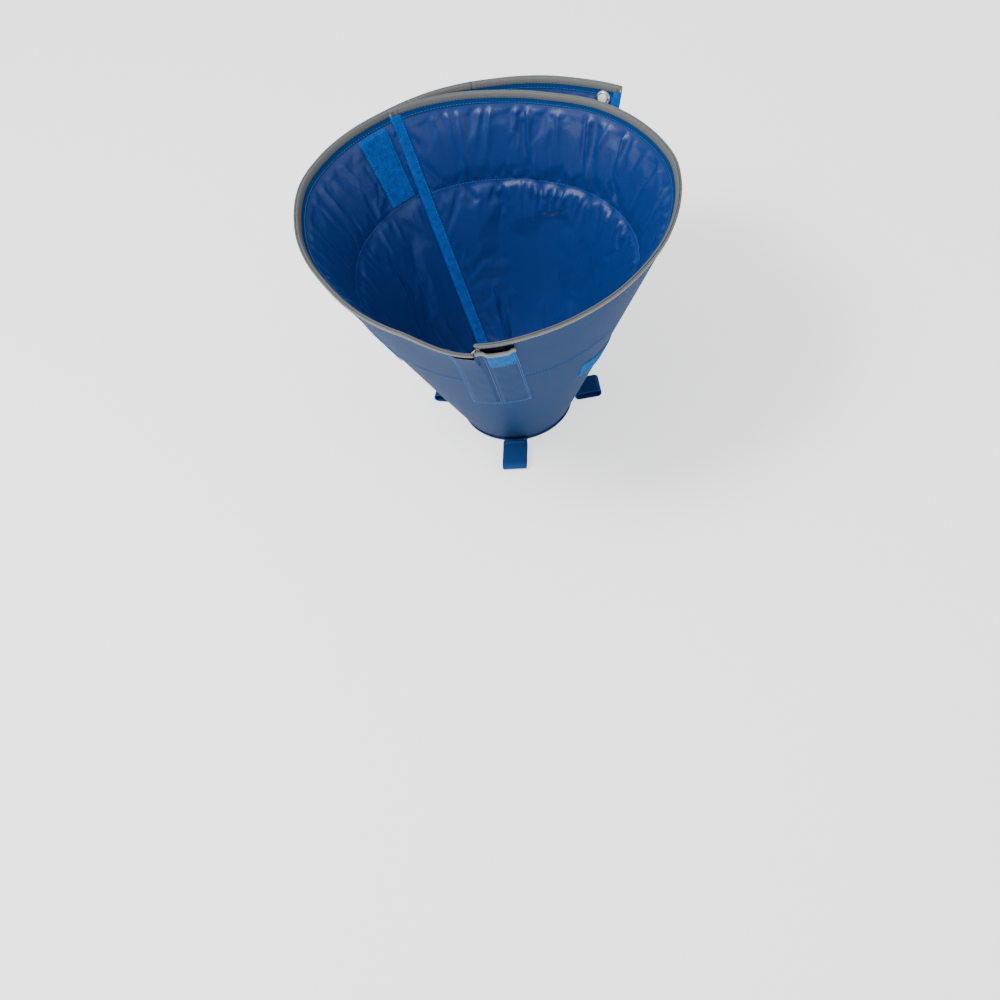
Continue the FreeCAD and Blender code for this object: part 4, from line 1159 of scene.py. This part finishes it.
class SoftConeStage(bpy.types.PropertyGroup):
    """Floor, lights and camera"""

    floor: colour("Floor", "Floor and backdrop", (0.93, 0.93, 0.93))
    key_power: amount("Key", "Power of the large soft light", 52.0, unit="POWER")
    fill_power: amount("Fill", "Power of each side light", 10.0, unit="POWER")
    glow: amount("Floor glow", "Light given off by the backdrop", 1.3)
    sky: amount("Surround", "Brightness of the white surround", 0.6)
    distance: amount("Camera distance", "From the camera to the rim", 2.330, unit="LENGTH")
    azimuth: angle_of("Azimuth", "Camera round from the front", 9.0)
    elevation: angle_of("Elevation", "Camera above the level", 48.0)
    roll: angle_of("Roll", "Camera turned about its own line of sight", -9.5)
    aim: FloatVectorProperty(name="Aim", description="Where the rim's centre lies in the view, across and up",
                             size=2, default=(-0.0121, 0.2916), subtype="XYZ")
    lens: FloatProperty(name="Lens", description="Focal length", default=85.0, min=10.0, unit="CAMERA")


# ---- operators ----


class Builder:
    """What the building operators share."""

    bl_options = {"REGISTER", "UNDO"}


class SOFTCONE_OT_padding(Builder, bpy.types.Operator):
    """Build the padding between the cloths"""

    bl_idname = "soft_cone.padding"
    bl_label = "Padding"

    def execute(self, context):
        nodes = {"cone": "foam_core", "root": "flap_root_foam", "tip": "flap_tip_foam"}
        for part, node in nodes.items():
            foam = dress(build_foam_part(part), part, "foam", node)
        return {"FINISHED"}


class SOFTCONE_OT_lining(Builder, bpy.types.Operator):
    """Build the gathered lining and let it slacken as cloth"""

    bl_idname = "soft_cone.lining"
    bl_label = "Lining"

    def execute(self, context):
        nodes = {"cone": "inner_lining", "root": "flap_root_lining", "tip": "flap_tip_lining"}
        for part, node in nodes.items():
            lining = dress(build_lining_part(part, context.scene.soft_cone_sizes), part, "lining_nylon", node)
            size, area = flat_cut(part)
        return {"FINISHED"}


class SOFTCONE_OT_shell(Builder, bpy.types.Operator):
    """Build the outer cloth"""

    bl_idname = "soft_cone.shell"
    bl_label = "Shell"

    def execute(self, context):
        nodes = {"cone": "outer_shell", "root": "flap_root_shell", "tip": "flap_tip_shell"}
        for part, node in nodes.items():
            shell = dress(build_shell_part(part, context.scene.soft_cone_sizes), part, "shell_nylon", node)
            size, area = flat_cut(part)
        return {"FINISHED"}


class SOFTCONE_OT_tapes(Builder, bpy.types.Operator):
    """Build the rim binding, facing tape, neck roll and end tapes"""

    bl_idname = "soft_cone.tapes"
    bl_label = "Edge tapes"

    def execute(self, context):
        kinds = (
            ("rim", RIM_TAPE, "reflective_binding", 1.0,
             ("rim_binding", "flap_root_rim_binding", "flap_tip_rim_binding")),
            ("neck", NECK_TAPE, "neck_tape", 2.0,
             ("neck_binding", "flap_root_neck_binding", "flap_tip_neck_binding")),
            ("facing", FACING_TAPE, "facing_tape", 3.0,
             ("rim_facing_tape", "flap_root_rim_facing", "flap_tip_rim_facing")),
        )
        start, stop = WHOLE_PANEL
        for kind, profile, slot, seed, nodes in kinds:
            for part, node in zip(("cone", "root", "tip"), nodes):
                if (kind, part) == ("rim", "cone"):
                    to_cut, from_cut = (start, LEFT_TAPE_END), (RIGHT_TAPE_START, stop)
                    left = edge_tape("rim_tape_left", part, profile, 0.8, seed, between=to_cut)
                    right = edge_tape(
                        "rim_tape_right", part, profile, 0.8, seed, between=from_cut, round_end=True,
                    )
                    dress(left, part, slot, node)
                    dress(right, part, slot, node)
                else:
                    dress(edge_tape(f"{kind}_tape_{part}", part, profile, 1.0, seed), part, slot, node)
        inner = end_tape("inner_end_tape", INNER_END, -1, *INNER_END_REACH)
        flap = end_tape("flap_end_tape", FLAP_END, 1, *FLAP_END_REACH)
        dress(inner, "cone", "brushed_loop", "inner_end_binding")
        dress(flap, "tip", "brushed_loop", "flap_end_binding")
        return {"FINISHED"}


class SOFTCONE_OT_fasteners(Builder, bpy.types.Operator):
    """Build the hook and loop strips"""

    bl_idname = "soft_cone.fasteners"
    bl_label = "Hook and loop"

    def execute(self, context):
        for seed, (node, strip) in enumerate(STRIPS.items()):
            dress(pile_strip(f"{node}_pile", strip, seed=seed + 3), strip.part, strip.slot, node)
        return {"FINISHED"}


class SOFTCONE_OT_pocket(Builder, bpy.types.Operator):
    """Build the front pocket, its mouth tape and loop patch, and the stays"""

    bl_idname = "soft_cone.pocket"
    bl_label = "Stay pocket"

    def execute(self, context):
        pocket = dress(build_pocket_panel(), "cone", "shell_nylon", "front_stay_pocket")
        patch = dress(build_pocket_patch(), "cone", "light_loop", "pocket_loop_patch")
        mouth = dress(build_mouth_tape(), "cone", "reflective_binding", "pocket_mouth_binding")
        dress(build_stay("sewn_stay_strip", *SEWN_STAY), "cone", "stay_plastic", "sewn_in_stay")
        dress(build_stay("loose_stay_strip", *LOOSE_STAY), "stay", "stay_plastic", "removable_stay")
        return {"FINISHED"}


class SOFTCONE_OT_snap(Builder, bpy.types.Operator):
    """Build the snap's metal pieces, and its white insert, whose white is a painted highlight"""

    bl_idname = "soft_cone.snap"
    bl_label = "Snap"

    def execute(self, context):
        angle = FLAP_END + float(degrees_for(SNAP_INSET, FLAP_END, SNAP_HIGH))
        outer_high = SNAP_HIGH + LINING_FACE * math.sin(LEAN) * math.cos(LEAN)
        pieces = (
            ("snap_socket", SOCKET, "flap_tip", "snap_metal", angle, SNAP_HIGH, LINING_FACE, False),
            # The insert's white is a painted highlight at the socket's centre.
            ("snap_insert", INSERT, "flap_tip", "snap_plastic", angle, SNAP_HIGH, LINING_FACE, False),
            ("snap_cap", CAP, "flap_tip", "snap_metal", angle, outer_high, SHELL_FACE, True),
            ("snap_stud", STUD, "cone", "snap_metal", STUD_ANGLE, STUD_HIGH, SHELL_FACE, True),
            ("snap_back_plate", BACK_PLATE, "cone", "snap_metal", STUD_ANGLE, STUD_HIGH, SHELL_FACE, True),
        )
        for node, profile, body, slot, *place in pieces:
            dress(build_round(f"{node}_pressed", profile, *place), body, slot, node)
        return {"FINISHED"}


class SOFTCONE_OT_loops(Builder, bpy.types.Operator):
    """Build the webbing loops for the pet's own collar"""

    bl_idname = "soft_cone.loops"
    bl_label = "Collar loops"

    def execute(self, context):
        roots = []
        for side, (angle, length, root_body) in LOOPS.items():
            loop, base, outward, sideways, root = build_loop(f"webbing_loop_{side}", angle, length)
            dress(loop, f"loop_{side}", "webbing", f"collar_loop_{side}")
            sewn = build_loop_root(f"webbing_root_{side}", angle)
            if root_body == "cone":
                roots.append(sewn)
                dress(sewn, "cone", "webbing", "collar_loop_roots")
            else:
                dress(sewn, root_body, "webbing", "flap_loop_root")
            thread = Thread()
            across = np.linspace(-10.5 * MM, 10.5 * MM, 24)
            for out in (5.0 * MM, 6.6 * MM):
                points = base + (root + out) * outward + across[:, None] * sideways
                points = points + np.array((0.0, 0.0, 2.0 * LOOP_RADIUS + 0.1 * MM))
                thread.row(points, np.tile((0.0, 0.0, 1.0), (24, 1)), pitch=1.8 * MM, length=1.5 * MM)
            stitches = thread.mesh(f"bar_tack_{side}")
            stitches.data.materials.append(thread_finish("blue"))
            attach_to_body(stitches, f"loop_{side}")
        return {"FINISHED"}


class SOFTCONE_OT_stitching(Builder, bpy.types.Operator):
    """Sew the seams with real stitches"""

    bl_idname = "soft_cone.stitching"
    bl_label = "Stitching"

    def execute(self, context):
        for part in PARTS:
            cloth, edge = Thread(), Thread()
            level_seam(edge, part, RIM_SEAM, RIM_SEAM_OUT, True)
            level_seam(edge, part, RIM_SEAM, RIM_SEAM_IN, False)
            level_seam(cloth, part, FACING_SEAM, FACING_SEAM_IN, False)
            level_seam(cloth, part, QUILT_INSIDE, LINING_FACE - 0.05 * MM, False)
            level_seam(cloth, part, QUILT_OUTSIDE, -0.62 * MM, True)
            level_seam(cloth, part, NECK_SEAM, NECK_SEAM_OUT, True, pitch=3.0 * MM, length=2.2 * MM)
            level_seam(cloth, part, NECK_SEAM, NECK_SEAM_IN, False, pitch=3.0 * MM, length=2.2 * MM)
            for strip in STRIPS.values():
                if strip.part == part:
                    outline_seam(cloth, strip)
            if part == "cone":
                sew_pocket(cloth)
                sew_end(cloth, edge, INNER_END, -1, *INNER_END_REACH)
            if part == "tip":
                sew_end(cloth, edge, FLAP_END, 1, *FLAP_END_REACH)
            for thread, kind in ((cloth, "blue"), (edge, "grey")):
                stitches = thread.mesh(f"{kind}_stitches_{part}")
                stitches.data.materials.append(thread_finish(kind))
                attach(stitches, part)
        return {"FINISHED"}


def thread_finish(kind):
    """Matt sewing thread, blue or grey."""
    c = look()
    return material(f"{kind}_thread", c.thread if kind == "blue" else c.grey_thread, 0.6, specular=0.05)


def pocket_seam(thread, across, height, lift, **sizes):
    """A seam on the pocket's cloth, lift above it, between places across and up the front."""
    across, height = np.broadcast_arrays(across, height)
    rise = pocket_rise(across, height) + lift
    seam_on_panel(thread, front_angle(across, height, rise), height, rise, True, **sizes)


def sew_pocket(thread):
    """Double stitching at the pocket's sides and foot, and single between its cells and round its patch."""
    small = {"pitch": 3.0 * MM, "length": 2.3 * MM}
    height = np.linspace(POCKET_LOW + 1.0 * MM, POCKET_HIGH - 1.0 * MM, 60)
    for across in POCKET_STITCHES:
        pocket_seam(thread, across * MM, height, 0.1 * MM, **small)
    across = np.linspace(-POCKET_HALF + MM, POCKET_HALF - MM, 50)
    for low in (1.0 * MM, 2.4 * MM):
        pocket_seam(thread, across, POCKET_LOW + low, 0.1 * MM, **small)
    inset, patch_rise = 1.8 * MM, 0.95 * MM
    up = np.linspace(PATCH_LOW + inset, PATCH_HIGH - inset, 20)
    for across in (PATCH_LEFT + inset, PATCH_RIGHT - inset):
        pocket_seam(thread, across, up, patch_rise)
    along = np.linspace(PATCH_LEFT + inset, PATCH_RIGHT - inset, 20)
    for height in (PATCH_LOW + inset, PATCH_HIGH - inset):
        pocket_seam(thread, along, height, patch_rise)


def sew_end(cloth, edge, end, into, outside_reach, inside_reach):
    """The seam down an end tape, and the bar tacks that hold the rim binding's end."""
    height = np.linspace(0.008, 0.2775, 80)
    faces = ((outside_reach, PROUD + 0.1 * MM, True), (inside_reach, PROUD_INSIDE - 0.15 * MM, False))
    for reach, offset, outside in faces:
        angle = end + into * degrees_for(reach * MM - 1.8 * MM, end, height)
        seam_on_panel(cloth, angle, height, offset, outside)
    rise = np.linspace(0.2790, 0.2834, 12)
    for reach in (2.0 * MM, 3.4 * MM, 9.0 * MM):
        angle = end + into * degrees_for(reach, end, rise)
        for offset, outside in ((RIM_SEAM_OUT, True), (RIM_SEAM_IN, False)):
            seam_on_panel(edge, angle, rise, offset, outside, pitch=1.6 * MM, length=1.4 * MM)


class SOFTCONE_OT_stage(Builder, bpy.types.Operator):
    """Set up the floor, the soft lights and the camera"""

    bl_idname = "soft_cone.stage"
    bl_label = "Stage"

    def execute(self, context):
        s = context.scene.soft_cone_stage
        add_floor(s)
        add_lights(s)
        add_camera(s)
        return {"FINISHED"}


def add_floor(s):
    """A wide pale floor, just below the neck edge."""
    half, low = 6.0, -0.4 * MM
    corners = np.array([(-half, -half, low), (half, -half, low), (half, half, low), (-half, half, low)])
    floor = mesh_object("studio_floor", corners, [(0, 1, 2, 3)])
    pale = material("studio_floor", s.floor, 0.85, specular=0.2, wear=0.0)
    shader = pale.node_tree.nodes["Principled BSDF"]
    shader.inputs["Emission Color"].default_value = (*s.floor, 1.0)
    shader.inputs["Emission Strength"].default_value = s.glow
    floor.data.materials.append(pale)


def add_light(name, place, aim, size, power):
    """A square soft light."""
    data = bpy.data.lights.new(name, "AREA")
    data.size, data.energy = size, power
    lamp = bpy.data.objects.new(name, data)
    lamp.location = place
    lamp.rotation_euler = (Vector(aim) - Vector(place)).to_track_quat("-Z", "Y").to_euler()
    bpy.context.scene.collection.objects.link(lamp)


def add_lights(s):
    """A large light above, and one at each side of the camera."""
    middle = (0.0, 0.0, 0.2)
    add_light("key_light", (-1.0, -0.5, 2.1), middle, 0.7, s.key_power)
    add_light("left_light", (-2.0, -1.2, 1.0), middle, 1.4, s.fill_power)
    add_light("right_light", (2.0, -0.9, 1.2), middle, 1.4, s.fill_power)
    world = bpy.data.worlds.new("pale_surround")
    world.use_nodes = True
    surround = world.node_tree.nodes["Background"]
    surround.inputs["Color"].default_value = (1.0, 1.0, 1.0, 1.0)
    surround.inputs["Strength"].default_value = s.sky
    bpy.context.scene.world = world


def add_camera(s):
    """A camera placed by its angle round the cone, its height and its roll."""
    level_reach = math.cos(s.elevation)
    back = Vector((
        math.sin(s.azimuth) * level_reach, -math.cos(s.azimuth) * level_reach, math.sin(s.elevation),
    ))
    level = Vector((0.0, 0.0, 1.0)).cross(back).normalized()
    upright = back.cross(level)
    across = math.cos(s.roll) * level + math.sin(s.roll) * upright
    up = -math.sin(s.roll) * level + math.cos(s.roll) * upright
    place = Vector((0.0, 0.0, CONE_HEIGHT)) - s.aim[0] * across - s.aim[1] * up + s.distance * back
    data = bpy.data.cameras.new("studio_camera")
    data.lens = s.lens
    camera = bpy.data.objects.new("studio_camera", data)
    turn = Matrix((across, up, back)).transposed().to_4x4()
    camera.matrix_world = Matrix.Translation(place) @ turn
    bpy.context.scene.collection.objects.link(camera)
    bpy.context.scene.camera = camera


class SOFTCONE_PT_panel(bpy.types.Panel):
    """Buttons for each piece, and what can be changed"""

    bl_label = "Soft Cone"
    bl_idname = "SOFTCONE_PT_panel"
    bl_space_type = "VIEW_3D"
    bl_region_type = "UI"
    bl_category = "Soft Cone"

    def draw(self, context):
        for operator in OPERATORS:
            self.layout.operator(operator.bl_idname)
        for group_name in GROUPS_OF_PROPERTIES:
            group = getattr(context.scene, group_name)
            for name in group.__annotations__:
                self.layout.prop(group, name)


OPERATORS = (
    SOFTCONE_OT_padding, SOFTCONE_OT_lining, SOFTCONE_OT_shell, SOFTCONE_OT_tapes, SOFTCONE_OT_fasteners,
    SOFTCONE_OT_pocket, SOFTCONE_OT_snap, SOFTCONE_OT_loops, SOFTCONE_OT_stitching, SOFTCONE_OT_stage,
)
GROUPS_OF_PROPERTIES = {
    "soft_cone_look": SoftConeLook, "soft_cone_sizes": SoftConeSizes, "soft_cone_stage": SoftConeStage,
}


def register():
    for name, group in GROUPS_OF_PROPERTIES.items():
        bpy.utils.register_class(group)
        setattr(bpy.types.Scene, name, PointerProperty(type=group))
    for item in (*OPERATORS, SOFTCONE_PT_panel):
        bpy.utils.register_class(item)


def unregister():
    for item in reversed((*OPERATORS, SOFTCONE_PT_panel)):
        bpy.utils.unregister_class(item)
    for name, group in GROUPS_OF_PROPERTIES.items():
        delattr(bpy.types.Scene, name)
        bpy.utils.unregister_class(group)


def main():
    """Builds every piece in order."""
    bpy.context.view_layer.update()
    register()
    bpy.ops.soft_cone.padding()
    bpy.ops.soft_cone.lining()
    bpy.ops.soft_cone.shell()
    bpy.ops.soft_cone.tapes()
    bpy.ops.soft_cone.fasteners()
    bpy.ops.soft_cone.pocket()
    bpy.ops.soft_cone.snap()
    bpy.ops.soft_cone.loops()
    bpy.ops.soft_cone.stitching()
    bpy.ops.soft_cone.stage()


if __name__ == "__main__":
    main()
